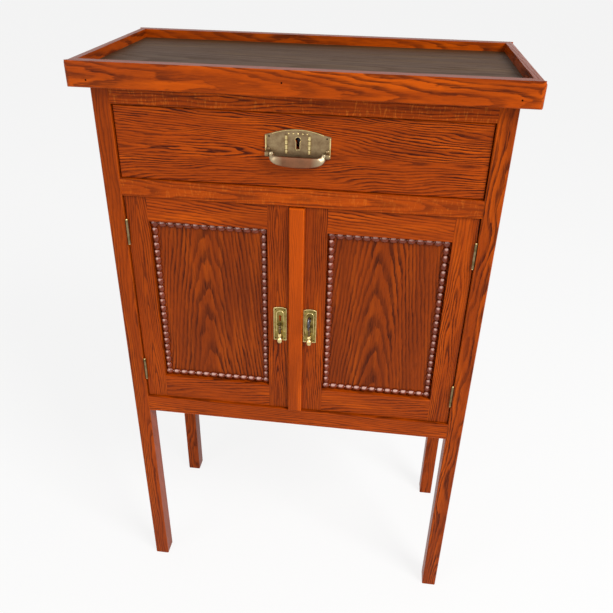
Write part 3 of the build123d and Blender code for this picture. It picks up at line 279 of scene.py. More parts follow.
    # On an arris or a rounded edge the face turns away from all three axes.
    face = add("ShaderNodeSeparateXYZ", {0: coordinates["Normal"]}, out=None).outputs
    squareness = 0.0
    for side in range(3):
        size = add("ShaderNodeMath", {0: face[side]}, operation="ABSOLUTE")
        squareness = add("ShaderNodeMath", {0: size, 1: squareness}, operation="MAXIMUM")
    # Arrises are painted paler: partly rubbed wear, partly a painted highlight line along the edge.
    rubbed = add(
        "ShaderNodeMapRange", {"Value": squareness, "From Min": 0.985, "From Max": 0.88, "To Max": worn}
    )
    rubbed = add("ShaderNodeMath", {0: rubbed, 1: levels["wear"]}, operation="MULTIPLY")
    coats.append((rubbed, tinted(1.5, 1.9, 2.2)))
    if grime:
        # What faces up is darker, as the top of the rim is in the photograph.
        upward = add(
            "ShaderNodeMapRange", {"Value": face[2], "From Min": 0.35, "From Max": 0.8, "To Max": grime}
        )
        coats.append((upward, tuple(0.5 * a + 0.5 * b for a, b in zip(dark, browner))))
    colour = opaque(light)
    for factor, tint in coats:
        colour = add(
            "ShaderNodeMix", {"Factor": factor, 6: colour, 7: opaque(tint)}, out=2, data_type="RGBA"
        )

    sheen = add("ShaderNodeMapRange", {"Value": grain, "To Min": gloss, "To Max": gloss + 0.22})
    dents = add("ShaderNodeBump", {"Strength": 0.5, "Distance": 0.12 * MM, "Height": grain}, invert=True)
    shader = add(
        "ShaderNodeBsdfPrincipled",
        {"Base Color": colour, "Roughness": sheen, "Normal": dents, "Specular IOR Level": WOOD_SPECULAR},
    )
    add("ShaderNodeOutputMaterial", {0: shader}, out=None)
    return material


def oak(look, name, axes, shift, ring=1.0, tone=1.0, **how):
    """The stained oak of the outside. ring and tone are shares of its usual rings and colour."""
    light = tuple(tone * c for c in look.oak_colour)
    return wood(name, axes, light, tuple(look.oak_grain_colour), ring * look.ring_width, shift, **how)


def plain_wood(look, name, axes, shift, ring=1.0, depth=0.5):
    """The pale unstained wood of the inside, with a dull surface."""
    light = tuple(look.inside_colour)
    dark = tuple(c * 0.5 for c in light)
    return wood(name, axes, light, dark, ring * look.ring_width, shift, depth=depth, gloss=0.5)


def metal(name, bright, tarnish, cover, spot, roughness, scratch, ends=None):
    """Old metal: rubbed bright in places, tarnished in others, with fine handling marks.

    cover is the share that the tarnish takes, spot the size of its clouds and scratch the
    spacing of the marks. ends gives the distances from the middle, along X, between which the
    metal turns bright, and its colour there. A metal that is already made is used again.
    """
    if name in bpy.data.materials:
        return bpy.data.materials[name]
    material, tree = blank(name)
    add = partial(add_node, tree)
    place = add("ShaderNodeTexCoord", out="Object")
    cloud = add("ShaderNodeTexNoise", {"Vector": place, "Scale": 1 / spot, "Detail": 3.0, "Roughness": 0.55})
    old = add(
        "ShaderNodeMapRange",
        {"Value": cloud, "From Min": 0.55 - cover * 0.4, "From Max": 0.95 - cover * 0.4},
    )
    coats = [(old, tarnish)]
    if ends:
        near, far, shine = ends
        across = add("ShaderNodeSeparateXYZ", {0: place})
        away = add("ShaderNodeMath", {0: across}, operation="ABSOLUTE")
        rubbed = add("ShaderNodeMapRange", {"Value": away, "From Min": near, "From Max": far})
        coats.append((rubbed, shine))
    colour = opaque(bright)
    for factor, tint in coats:
        colour = add(
            "ShaderNodeMix", {"Factor": factor, 6: colour, 7: opaque(tint)}, out=2, data_type="RGBA"
        )
    marks = add(
        "ShaderNodeTexNoise", {"Vector": place, "Scale": 1 / scratch, "Detail": 2.0, "Roughness": 0.6}
    )
    rough = add("ShaderNodeMapRange", {"Value": old, "To Min": roughness, "To Max": roughness + 0.25})
    dents = add("ShaderNodeBump", {"Strength": 0.3, "Distance": 0.05 * MM, "Height": marks})
    shader = add(
        "ShaderNodeBsdfPrincipled",
        {"Base Color": colour, "Metallic": 1.0, "Roughness": rough, "Normal": dents},
    )
    add("ShaderNodeOutputMaterial", {0: shader}, out=None)
    return material


def polish(name, colour, thick, highlight):
    """Spirit polish on turned beads.

    The eye sees a red brown, darker where it lies thick, under a glossy film with a pale
    highlight painted on the crest of each bead.
    """
    material, tree = blank(name)
    add = partial(add_node, tree)
    coordinates = add("ShaderNodeTexCoord", out=None).outputs
    # Thick spots about 4 mm across.
    spots = add("ShaderNodeTexNoise", {"Vector": coordinates["Object"], "Scale": 1 / 0.004, "Detail": 2.0})
    spots = add("ShaderNodeMapRange", {"Value": spots, "From Min": 0.4, "From Max": 0.75})
    # The highlight is painted by the direction of the surface, so it stays there in any light.
    crest = add(
        "ShaderNodeVectorMath", {0: coordinates["Normal"], 1: (-0.10, -0.84, 0.53)}, out="Value",
        operation="DOT_PRODUCT",
    )
    crest = add("ShaderNodeMapRange", {"Value": crest, "From Min": 0.88, "From Max": 0.985, "To Max": 0.8})
    tone = opaque(colour)
    for factor, tint in ((spots, thick), (crest, highlight)):
        tone = add("ShaderNodeMix", {"Factor": factor, 6: tone, 7: opaque(tint)}, out=2, data_type="RGBA")
    rough = add("ShaderNodeMapRange", {"Value": spots, "To Min": 0.20, "To Max": 0.32})
    dents = add("ShaderNodeBump", {"Strength": 0.2, "Distance": 0.1 * MM, "Height": spots})
    shader = add(
        "ShaderNodeBsdfPrincipled",
        {"Base Color": tone, "Roughness": rough, "Normal": dents, "Specular IOR Level": 0.4},
    )
    add("ShaderNodeOutputMaterial", {0: shader}, out=None)
    return material


# Geometry Nodes trees for what repeats or follows a path


def node_tree(name, **inputs):
    """A Geometry Nodes tree with named inputs. Returns the tree, its input values and its output."""
    tree = bpy.data.node_groups.new(name, "GeometryNodeTree")
    tree.interface.new_socket("Geometry", in_out="INPUT", socket_type="NodeSocketGeometry")
    for label, kind in inputs.items():
        tree.interface.new_socket(label, in_out="INPUT", socket_type=f"NodeSocket{kind}")
    tree.interface.new_socket("Finish", in_out="INPUT", socket_type="NodeSocketMaterial")
    tree.interface.new_socket("Geometry", in_out="OUTPUT", socket_type="NodeSocketGeometry")
    given = add_node(tree, "NodeGroupInput", out=None)
    return tree, given.outputs, add_node(tree, "NodeGroupOutput", out=None)


def finish_tree(tree, geometry, finish, output, smooth=True):
    """Ends a tree: real mesh instead of instances, smooth faces and the finish on all of it."""
    geometry = add_node(tree, "GeometryNodeRealizeInstances", {"Geometry": geometry})
    if smooth:
        geometry = add_node(tree, "GeometryNodeSetShadeSmooth", {"Geometry": geometry})
    geometry = add_node(tree, "GeometryNodeSetMaterial", {"Geometry": geometry, "Material": finish})
    tree.links.new(geometry, output.inputs["Geometry"])
    return tree


def aimed(tree):
    """The rotation that points a piece along its point's own direction."""
    aim = add_node(tree, "GeometryNodeInputNamedAttribute", {"Name": "aim"}, data_type="FLOAT_VECTOR")
    return add_node(tree, "FunctionNodeAlignRotationToVector", {"Vector": aim}, axis="Z")


def unit_ball(tree):
    """A small ball to be reshaped, and the parts of each of its points."""
    ball = add_node(tree, "GeometryNodeMeshUVSphere", {"Segments": 12, "Rings": 8, "Radius": 1.0})
    position = add_node(tree, "GeometryNodeInputPosition")
    return ball, add_node(tree, "ShaderNodeSeparateXYZ", {0: position}, out=None).outputs


def bead_tree():
    """Beads along every edge of the input mesh, one on each end, seated on a thin half-round cord."""
    tree, value, output = node_tree("Bead string", Width="Float", Rise="Float", Pitch="Float", Neck="Float")
    add = partial(add_node, tree)
    strings = add("GeometryNodeMeshToCurve", {"Mesh": value["Geometry"]})
    spots = add(
        "GeometryNodeCurveToPoints", {"Curve": strings, "Length": value["Pitch"]}, out=None, mode="LENGTH"
    ).outputs
    facing = add(
        "FunctionNodeAxesToRotation",
        {"Primary Axis": spots["Tangent"], "Secondary Axis": FRONT},
        primary_axis="X",
        secondary_axis="Z",
    )
    ball, at = unit_ball(tree)
    ball = add("GeometryNodeTransform", {"Geometry": ball, "Rotation": (0, pi / 2, 0)})
    half_pitch = add("ShaderNodeMath", {0: value["Pitch"], 1: 0.5}, operation="MULTIPLY")
    half_width = add("ShaderNodeMath", {0: value["Width"], 1: 0.5}, operation="MULTIPLY")
    # A turned bead is fuller at its ends than a ball.
    size = add("ShaderNodeMath", {0: at[0]}, operation="ABSOLUTE")
    full = add("ShaderNodeMath", {0: size, 1: 0.85}, operation="POWER")
    side = add("ShaderNodeMath", {0: at[0]}, operation="SIGN")
    along = add("ShaderNodeMath", {0: full, 1: side}, operation="MULTIPLY")
    ends = add("ShaderNodeMath", {0: size, 1: 4.0}, operation="POWER")
    swell = add("ShaderNodeMath", {0: ends, 1: 0.5, 2: 1.0}, operation="MULTIPLY_ADD")
    wide = add("ShaderNodeMath", {0: half_width, 1: swell}, operation="MULTIPLY")
    high = add("ShaderNodeMath", {0: value["Rise"], 1: swell}, operation="MULTIPLY")
    above = add("ShaderNodeMath", {0: at[2], 1: 0.0}, operation="MAXIMUM")
    place = {}
    for i, (part, reach) in enumerate(((along, half_pitch), (at[1], wide), (above, high))):
        place[i] = add("ShaderNodeMath", {0: part, 1: reach}, operation="MULTIPLY")
    place = add("ShaderNodeCombineXYZ", place)
    bead = add("GeometryNodeSetPosition", {"Geometry": ball, "Position": place})
    beads = add(
        "GeometryNodeInstanceOnPoints", {"Points": spots["Points"], "Instance": bead, "Rotation": facing}
    )
    cord_radius = add("ShaderNodeMath", {0: half_width, 1: value["Neck"]}, operation="MULTIPLY")
    ring = add("GeometryNodeCurvePrimitiveCircle", {"Resolution": 10, "Radius": cord_radius}, mode="RADIUS")
    cord = add("GeometryNodeCurveToMesh", {"Curve": strings, "Profile Curve": ring, "Fill Caps": True})
    both = add("GeometryNodeJoinGeometry", out=None)
    for part in (beads, cord):
        tree.links.new(part, both.inputs[0])
    return finish_tree(tree, both.outputs[0], value["Finish"], output)


def stud_tree():
    """A low dome on every point, aimed along the point's own direction."""
    tree, value, output = node_tree("Domed studs", Radius="Float", Rise="Float")
    add = partial(add_node, tree)
    ball, at = unit_ball(tree)
    above = add("ShaderNodeMath", {0: at[2], 1: -0.1}, operation="MAXIMUM")
    place = {}
    for i, (part, reach) in enumerate(((at[0], "Radius"), (at[1], "Radius"), (above, "Rise"))):
        place[i] = add("ShaderNodeMath", {0: part, 1: value[reach]}, operation="MULTIPLY")
    place = add("ShaderNodeCombineXYZ", place)
    dome = add("GeometryNodeSetPosition", {"Geometry": ball, "Position": place})
    studs = add(
        "GeometryNodeInstanceOnPoints",
        {"Points": value["Geometry"], "Instance": dome, "Rotation": aimed(tree)},
    )
    return finish_tree(tree, studs, value["Finish"], output)


def line_tree():
    """A round raised line along every edge path of the input mesh, as thick as its points say."""
    tree, value, output = node_tree("Raised line", Sides="Int")
    add = partial(add_node, tree)
    path = add("GeometryNodeMeshToCurve", {"Mesh": value["Geometry"]})
    thick = add("GeometryNodeInputNamedAttribute", {"Name": "thick"}, data_type="FLOAT")
    ring = add(
        "GeometryNodeCurvePrimitiveCircle", {"Resolution": value["Sides"], "Radius": 1.0}, mode="RADIUS"
    )
    line = add(
        "GeometryNodeCurveToMesh",
        {"Curve": path, "Profile Curve": ring, "Scale": thick, "Fill Caps": True},
    )
    return finish_tree(tree, line, value["Finish"], output)


def screw_tree():
    """A flush slotted screw head on every point, its slot turned as the screw happened to stop."""
    tree, value, output = node_tree("Slotted screws", Radius="Float", Rise="Float", Seed="Int")
    add = partial(add_node, tree)
    # The random value's float sockets come after its vector ones.
    stop = add(
        "FunctionNodeRandomValue", {"Seed": value["Seed"], 2: 0.0, 3: pi}, out=1, data_type="FLOAT"
    )
    spin = add("ShaderNodeCombineXYZ", {2: stop})
    turn = add("FunctionNodeEulerToRotation", {0: spin})
    facing = add(
        "FunctionNodeRotateRotation", {"Rotation": aimed(tree), "Rotate By": turn}, rotation_space="LOCAL"
    )
    # The slot is longer than the head is wide, and cut down to its face's middle.
    shares = {
        "thickness": ("Rise", 2.0),
        "long": ("Radius", 3.0),
        "wide": ("Radius", 0.28),
        "up": ("Rise", 1.05),
    }
    size = {
        label: add("ShaderNodeMath", {0: value[source], 1: share}, operation="MULTIPLY")
        for label, (source, share) in shares.items()
    }
    head = add(
        "GeometryNodeMeshCylinder",
        {
            "Vertices": 24, "Side Segments": 1, "Fill Segments": 1, "Radius": value["Radius"],
            "Depth": size["thickness"],
        },
        out="Mesh",
    )
    box = add("ShaderNodeCombineXYZ", {0: size["long"], 1: size["wide"], 2: size["thickness"]})
    slot = add("GeometryNodeMeshCube", {"Size": box})
    lift = add("ShaderNodeCombineXYZ", {2: size["up"]})
    slot = add("GeometryNodeTransform", {"Geometry": slot, "Translation": lift})
    head = add("GeometryNodeMeshBoolean", {"Mesh 1": head, "Mesh 2": slot}, operation="DIFFERENCE")
    screws = add(
        "GeometryNodeInstanceOnPoints",
        {"Points": value["Geometry"], "Instance": head, "Rotation": facing},
    )
    return finish_tree(tree, screws, value["Finish"], output, smooth=False)


def finial_tree():
    """A small ball at every point, lifted by part of its radius along the point's own direction."""
    tree, value, output = node_tree("Ball finials", Radius="Float")
    add = partial(add_node, tree)
    ball = add("GeometryNodeMeshUVSphere", {"Segments": 20, "Rings": 14, "Radius": value["Radius"]})
    lift = add("ShaderNodeMath", {0: value["Radius"], 1: 0.25}, operation="MULTIPLY")
    place = add("ShaderNodeCombineXYZ", {2: lift})
    ball = add("GeometryNodeTransform", {"Geometry": ball, "Translation": place})
    balls = add(
        "GeometryNodeInstanceOnPoints",
        {"Points": value["Geometry"], "Instance": ball, "Rotation": aimed(tree)},
    )
    return finish_tree(tree, balls, value["Finish"], output)


def grown(name, tree, points, values, edges=(), aims=(), thick=()):
    """Runs a tree on a small mesh of points or edges and keeps the result as one plain mesh."""
    base = bpy.data.meshes.new(name)
    base.from_pydata([tuple(p) for p in points], list(edges), [])
    if aims:
        aim = base.attributes.new("aim", "FLOAT_VECTOR", "POINT")
        aim.data.foreach_set("vector", [c for direction in aims for c in direction])
    if thick:
        base.attributes.new("thick", "FLOAT", "POINT").data.foreach_set("value", list(thick))
    obj = bpy.data.objects.new(name, base)
    bpy.context.scene.collection.objects.link(obj)
    modifier = obj.modifiers.new("Shape", "NODES")
    modifier.node_group = tree
    sockets = {
        item.name: item.identifier
        for item in tree.interface.items_tree
        if item.item_type == "SOCKET" and item.in_out == "INPUT"
    }
    for label, value in values.items():
        modifier[sockets[label]] = value
    graph = bpy.context.evaluated_depsgraph_get()
    mesh = bpy.data.meshes.new_from_object(obj.evaluated_get(graph))
    obj.modifiers.remove(modifier)
    obj.data = mesh
    mesh.name = name
    if not mesh.polygons:
        raise RuntimeError(f"{name} came out empty")
    return obj


def studs(name, spots, radius, rise, finish):
    """Low domes on a face that looks to the front."""
    values = {"Radius": radius, "Rise": rise, "Finish": finish}
    return grown(name, stud_tree(), spots, values, aims=[FRONT] * len(spots))


class RaisedLines:
    """Lines pressed up from a plate, drawn in mm across and up from a point on its face."""

    def __init__(self, *origin):
        self.origin = Vector(origin)
        self.points, self.edges, self.thick = [], [], []

    def draw(self, path, radius):
        first = len(self.points)
        self.points.extend(self.origin + Vector((across, 0, up)) * MM for across, up in path)
        self.edges.extend((first + i, first + i + 1) for i in range(len(path) - 1))
        self.thick.extend([radius * MM] * len(path))

    def grow(self, name, finish):
        values = {"Sides": 10, "Finish": finish}
        return grown(name, line_tree(), self.points, values, edges=self.edges, thick=self.thick)


# Modelled shapes


def smooth_line(points, steps):
    """Points along a smooth curve through the given ones."""
    ends = [points[0] * 2 - points[1], *points, points[-1] * 2 - points[-2]]
    line = []
    for i in range(1, len(ends) - 2):
        a, b, c, d = ends[i - 1 : i + 3]
        for step in range(steps):
            t = step / steps
            bend = (2 * a - 5 * b + 4 * c - d) * t * t + (3 * b - a - 3 * c + d) * t**3
            line.append(0.5 * ((2 * b) + (c - a) * t + bend))
    return [*line, points[-1]]


def meshed(name, form):
    """A finished object from a form, its doubles merged and its faces turned outwards."""
    bmesh.ops.remove_doubles(form, verts=form.verts, dist=1e-6)
    bmesh.ops.recalc_face_normals(form, faces=form.faces)
    for face in form.faces:
        face.smooth = True
    mesh = bpy.data.meshes.new(name)
    form.to_mesh(mesh)
    form.free()
    obj = bpy.data.objects.new(name, mesh)
    bpy.context.scene.collection.objects.link(obj)
    return obj


def shell(name, rings, looped=False):
    """A closed smooth mesh through rings of points."""
    form = bmesh.new()
    rows = [[form.verts.new(point) for point in ring] for ring in rings]
    count = len(rows[0])
    pairs = list(zip(rows, rows[1:]))
    if looped:
        pairs.append((rows[-1], rows[0]))
    for low, high in pairs:
        for i in range(count):
            j = (i + 1) % count
            form.faces.new((low[i], low[j], high[j], high[i]))
    if not looped:
        form.faces.new(rows[0])
        form.faces.new(rows[-1])
    return meshed(name, form)


def turned(name, profile, origin, axis, segments=28):
    """A piece turned on a lathe. profile holds distances along the axis and radii, in mm."""
    along = Vector(axis).normalized()
    across = along.orthogonal().normalized()
    third = along.cross(across)
    turns = [2 * pi * i / segments for i in range(segments)]
    rings = []
    for distance, radius in profile:
        centre = Vector(origin) + along * distance * MM
        # A pole keeps a tiny radius, and its points are merged later.
        reach = max(radius, 0.01) * MM
        rings.append([centre + (across * cos(turn) + third * sin(turn)) * reach for turn in turns])
    return shell(name, rings)


def hoop(name, centre, long_axis, short_axis, sizes, thick, segments, sides, flat):
    """A closed round bar bent into an oval of the given half sizes. flat stretches it sideways."""
    long_axis, short_axis = Vector(long_axis), Vector(short_axis)
    normal = long_axis.cross(short_axis)
    rings = []
    for step in range(segments):
        turn = 2 * pi * step / segments
        out = (long_axis * cos(turn) * sizes[1] + short_axis * sin(turn) * sizes[0]).normalized()
        spot = Vector(centre) + long_axis * cos(turn) * sizes[0] + short_axis * sin(turn) * sizes[1]
        rings.append(
            [
                spot + (out * cos(2 * pi * i / sides) + normal * flat * sin(2 * pi * i / sides)) * thick
                for i in range(sides)
            ]
        )
    return shell(name, rings, looped=True)


def joined(name, *parts):
    """Several meshes as one piece."""
    form = bmesh.new()
    for part in parts:
        form.from_mesh(part.data)
        bpy.data.objects.remove(part)
    return meshed(name, form)


def flat_faced(obj):
    """Turns off smooth shading."""
    for polygon in obj.data.polygons:
        polygon.use_smooth = False
    return obj


def faced(obj, material, body, slot, *replaced):
    """Gives a modelled piece its material and body. Its slot is not used."""
    obj.data.materials.clear()
    obj.data.materials.append(material)
    return seated(obj, body, slot, *replaced)


def seated(obj, body, slot, *replaced):
    """Lets a finished piece ride on its body and stand for the nodes it replaces."""
    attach(obj, body)
    if replaced:
        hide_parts(*replaced)
    return obj


def dress(material, *names):
    """Gives CAD nodes a material."""
    for name in names:
        slots = NODES[name].material_slots
        if not slots:
            raise RuntimeError(f"{name} has no material slot")
        for slot in slots:
            slot.material = material


# Operators


class CABINET_OT_carcass(bpy.types.Operator):
    """Dresses the legs, rails, tray and the boards inside"""

    bl_idname = "cabinet.carcass"
    bl_label = "Carcass and tray"

    def execute(self, context):
        look = context.scene.cabinet_finish
        legs = {
            "front_left_leg": (0.262, 0.10, 0.0),
            "front_right_leg": (-0.300, 0.12, 0.31),
            "rear_left_leg": (0.25, -0.10, 0.52),
            "rear_right_leg": (-0.25, -0.12, 0.77),
        }
        # The legs' oak is darkened to 0.85 of its usual colour: painted shade for the weaker light low down on
        # the legs.
        for name, shift in legs.items():
            dress(oak(look, f"oak_{name}", "XYZ", shift, ring=0.55, tone=0.85, taper=0.015, pith=0.06), name)
        across = {
            "front_lipping": ((0.0, 0.10, -0.985), 0.05, 0.9, 0.0, 0.85),
            "rear_lipping": ((0.21, -0.10, -0.985), 0.05, 0.9, 0.0, 0.85),
            "top_rail": ((0.4, 0.10, -0.96), 0.02, 1.0, 0.6, 0.0),
            "middle_rail": ((-0.3, 0.11, -0.82), 0.03, 0.9, 0.3, 0.0),
            "bottom_rail": ((0.6, 0.10, -0.40), 0.02, 0.9, 0.0, 0.0),
        }
        for name, (shift, taper, depth, flecks, grime) in across.items():
            finish = oak(
                look, f"oak_{name}", "ZYX", shift, ring=0.8, taper=taper, depth=depth, flecks=flecks,
                worn=0.15, grime=grime,
            )
            dress(finish, name)
        side_lippings = oak(
            look, "oak_side_lippings", "ZXY", (0.05, 0.3, -0.98), taper=0.05, worn=0.15, grime=0.85
        )
        dress(side_lippings, "side_lippings")
        side_rails = oak(look, "oak_side_rails", "ZXY", (0.02, 0.1, -0.94), taper=0.03)
        dress(side_rails, "upper_side_rails", "lower_side_rails")
        side_panels = oak(
            look, "oak_side_panels", "YXZ", (0.02, 0.04, 0.1), ring=0.9, taper=0.06, pith=0.05, warp=0.004
        )
        dress(side_panels, "side_panels")
        dress(oak(look, "oak_back_rails", "ZYX", (0.1, -0.1, -0.9), taper=0.03), "back_rails")
        tray = tuple(look.tray_colour)
        tray_wood = wood(
            "oak_tray_board", "YZX", tray, tuple(c * 0.45 for c in tray), look.ring_width * 1.2,
            (0.3, 0.05, -0.95), taper=0.05, depth=0.7, gloss=0.5,
        )
        dress(tray_wood, "tray_board")
        boards = plain_wood(look, "inside_boards", "YZX", (0.0, 0.0, 0.0))
        dress(boards, "cupboard_floor", "cupboard_ceiling", "shelf", "drawer_stops")
        cleats = plain_wood(look, "inside_cleats", "ZXY", (0.0, 0.1, 0.0))
        dress(cleats, "floor_cleats", "shelf_battens", "drawer_runners", "drawer_kickers")
        back = plain_wood(look, "back_plywood", "XYZ", (0.0, 0.02, 0.0), ring=1.6, depth=0.45)
        dress(back, "back_panel")
        return {"FINISHED"}


class CABINET_OT_drawer(bpy.types.Operator):
    """Dresses the drawer"""

    bl_idname = "cabinet.drawer"
    bl_label = "Drawer"

    def execute(self, context):
        look = context.scene.cabinet_finish
        front = oak(
            look, "oak_drawer_front", "ZYX", (-0.12, 0.10, -0.885), ring=0.72, taper=0.07, warp=0.014,
            depth=1.3,
        )
        dress(front, "drawer_front")
        dress(plain_wood(look, "drawer_side_wood", "ZXY", (0.0, 0.0, 0.1)), "drawer_sides")
        dress(plain_wood(look, "drawer_back_wood", "ZYX", (0.2, 0.0, 0.1)), "drawer_back")
        bottom = plain_wood(look, "drawer_plywood", "YZX", (0.1, 0.0, 0.1), ring=1.6, depth=0.45)
        dress(bottom, "drawer_bottom")
        return {"FINISHED"}


class CABINET_OT_doors(bpy.types.Operator):
    """Dresses the frames and panels of the two doors"""

    bl_idname = "cabinet.doors"
    bl_label = "Doors"

    def execute(self, context):
        look = context.scene.cabinet_finish
        stiles = {
            "left_door_hinge_stile": (0.25, 0.10, 0.2),
            "left_door_meeting_stile": (0.03, 0.10, 0.9),
            "right_door_meeting_stile": (-0.02, 0.10, 0.5),
            "right_door_hinge_stile": (-0.25, 0.10, 1.3),
        }
        for name, shift in stiles.items():
            dress(oak(look, f"oak_{name}", "XYZ", shift, ring=0.6, tone=0.88, taper=0.03), name)
        cover = oak(
            look, "oak_cover_strip", "XYZ", (0.2, 0.1, 0.4), ring=0.5, tone=1.2, taper=0.01, depth=0.4
        )
        dress(cover, "right_door_cover_strip")
        rails = {"left": (0.0, 0.10, -0.62), "right": (0.33, 0.10, -0.60)}
        panels = {"left": (0.148, 0.118, 0.0), "right": (-0.13, 0.116, 0.33)}
        for door in rails:
            dress(oak(look, f"oak_{door}_door_rails", "ZYX", rails[door]), f"{door}_door_rails")
            panel = wood(
                f"oak_{door}_panel", "XYZ", tuple(look.panel_colour), tuple(look.panel_grain_colour),
                look.ring_width, panels[door], taper=0.10, warp=0.005,
            )
            dress(panel, f"{door}_door_panel")
        return {"FINISHED"}


class CABINET_OT_beading(bpy.types.Operator):
    """Strings of turned half beads round both door panels"""

    bl_idname = "cabinet.beading"
    bl_label = "Beading"

    def execute(self, context):
        sizes, look = context.scene.cabinet_beading, context.scene.cabinet_finish
        tree = bead_tree()
        thick = tuple(c * 0.6 for c in look.bead_colour)
        # The last colour is the pale highlight painted on the crest of each bead.
        finish = polish("spirit_polished_beads", tuple(look.bead_colour), thick, linear("#DDB2A4"))
        for door in ("left_door", "right_door"):
            low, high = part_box(f"{door}_beading")
            half, seat = sizes.width / 2, high.y
            corners = [
                (low.x + half, seat, low.z + half),
                (high.x - half, seat, low.z + half),
                (high.x - half, seat, high.z - half),
                (low.x + half, seat, high.z - half),
            ]
            points = [corner for i in range(4) for corner in (corners[i], corners[(i + 1) % 4])]
            string = high.z - low.z - sizes.width
            pitch = string / round(string / sizes.pitch)
            values = {
                "Width": sizes.width,
                "Rise": sizes.rise,
                # A little short, so that rounding doesn't lose the last bead
                "Pitch": pitch * 0.999,
                "Neck": sizes.neck,
                "Finish": finish,
            }
            edges = [(2 * i, 2 * i + 1) for i in range(4)]
            beads = grown(f"{door}_bead_strings", tree, points, values, edges=edges)
            seated(beads, door, "dark_beading", f"{door}_beading")
        return {"FINISHED"}


def plate_metals(look):
    """The brass of the drawer plate, the same brass rubbed bright, and the iron of the nails."""
    brass = tuple(look.brass_colour)
    dull = metal("old_brass_plate", brass, linear("#6C543C"), 0.5, 0.010, 0.36, 0.0012)
    bright = metal("rubbed_brass_edge", linear("#E8D296"), linear("#A88F58"), 0.35, 0.006, 0.24, 0.0012)
    iron = metal("nail_iron", linear("#2A2018"), linear("#120C08"), 0.4, 0.003, 0.45, 0.0008)
    return dull, bright, iron


class CABINET_OT_drawer_pull(bpy.types.Operator):
    """Pressed plate with its raised lines, dots and nails, and the bail"""

    bl_idname = "cabinet.drawer_pull"
    bl_label = "Drawer pull"

    def execute(self, context):
        look, sizes = context.scene.cabinet_finish, context.scene.cabinet_fittings
        dull, bright, iron = plate_metals(look)
        dress(dull, "drawer_pull_plate")
        low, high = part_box("drawer_pull_plate")
        foot, tall = low.z, (high.z - low.z) / MM

        lines = RaisedLines(0, PULL_FACE, foot)
        for side in (-1, 1):
            lines.draw([(side * 45.9, 1.5), (side * 45.9, 29.8)], 1.25)
            for step in range(4):
                start = 5.4 + step * 6.7
                lines.draw([(side * 16.5, start), (side * 16.5, start + 5.4)], 2.3)
        # The plate's top falls away from its middle by 7 mm at 38 mm.
        lines.draw([(x, tall - 7 * (x / 38) ** 2 - 0.8) for x in range(-37, 38, 2)], 0.55)
        arc = [(3.9 * cos(a * pi / 18), 3.9 * sin(a * pi / 18)) for a in range(-4, 23)]
        rim = [(2.6, -13.4), *arc, (-2.6, -13.4), (2.6, -13.4)]
        lines.draw([(x * 1.1, 25 + z * 1.06) for x, z in rim], 0.35)
        seated(lines.grow("drawer_plate_raised_lines", bright), "drawer", "plate_brass")

        def spot(across, up):
            return (across * MM, PULL_FACE, foot + up * MM)

        reach, gaps = 13.2, sizes.dot_count - 1
        rows = {
            "drawer_plate_dots": (
                [spot(-reach + 2 * reach * i / gaps, 33.6) for i in range(gaps + 1)],
                sizes.dot_radius, 0.9, bright,
            ),
            "drawer_plate_ear_knobs": ([spot(side * 42.6, 10.2) for side in (-1, 1)], 3.3 * MM, 2.6, dull),
            "drawer_plate_nails": (
                [spot(side * 41.2, 28.6) for side in (-1, 1)], sizes.nail_radius * 1.15, 0.35, iron,
            ),
        }
        for name, (spots, radius, rise, finish) in rows.items():
            seated(studs(name, spots, radius, rise * MM, finish), "drawer", "plate_brass")

        copper = metal(
            "rubbed_copper_bail", tuple(look.copper_colour), linear("#6E4E3A"), 0.45, 0.014, 0.34, 0.001,
            ends=(0.020, 0.041, linear("#BBAD8C")),
        )
        faced(self.bail(), copper, "drawer_bail", "bail_copper", "drawer_pull_bail")
        profile = [(-0.4, 3.0), (0.3, 2.8), (0.7, 1.9), (0.95, 0.0)]
        ends = [
            turned("end", profile, (side * 46.0 * MM, BAIL_PIVOT_Y, BAIL_PIVOT_Z), (side, 0, 0), 20)
            for side in (-1, 1)
        ]
        faced(joined("drawer_bail_ends", *ends), bright, "drawer_bail", "bail_copper")
        return {"FINISHED"}

    def bail(self):
        """Arms that come down from the ears and spread into a crescent grip with a flat top."""
        inner = [(35.0, 3.0), (34.8, 1.4), (33.6, -0.1), (30.6, -1.0), (25.0, -1.4), (14.0, -1.5), (0.0, -1.5)]
        outer = [
            (41.0, 2.6), (41.0, -2.5), (39.6, -6.6), (35.8, -10.6), (28.2, -13.9), (15.5, -16.2), (0.0, -17.0),
        ]
        paths = []
        for half in (inner, outer):
            points = [Vector((x, z)) for x, z in half]
            points += [Vector((-x, z)) for x, z in reversed(half[:-1])]
            paths.append(smooth_line(points, 5))
        rings = []
        for near, far in zip(*paths):
            middle, reach = (near + far) / 2, (far - near) / 2
            # The grip stands 6.5 mm forward of the arms' top, for the fingers.
            deep = min(1.0, max(0.0, -middle.y / 7.5))
            forward = -6.5 * deep * deep * (3 - 2 * deep)
            thick = 1.85 if reach.length > 3.0 else 1.6
            ring = []
            for i in range(16):
                turn = 2 * pi * i / 16
                place = middle + cos(turn) * reach
                out = forward + sin(turn) * thick
                ring.append(
                    Vector((place.x * MM, BAIL_PIVOT_Y + out * MM, BAIL_PIVOT_Z + place.y * MM))
                )
            rings.append(ring)
        profile = [
            (-0.1, 0), (0, 2.2), (0.5, 2.75), (3.2, 2.75), (3.7, 2.2), (3.8, 1.25), (9.0, 1.25), (9.0, 0),
        ]
        eyes = [
            turned("eye", profile, (side * 37.1 * MM, BAIL_PIVOT_Y, BAIL_PIVOT_Z), (side, 0, 0), 24)
            for side in (-1, 1)
        ]
        return joined("drawer_bail_grip", shell("grip", rings), *eyes)


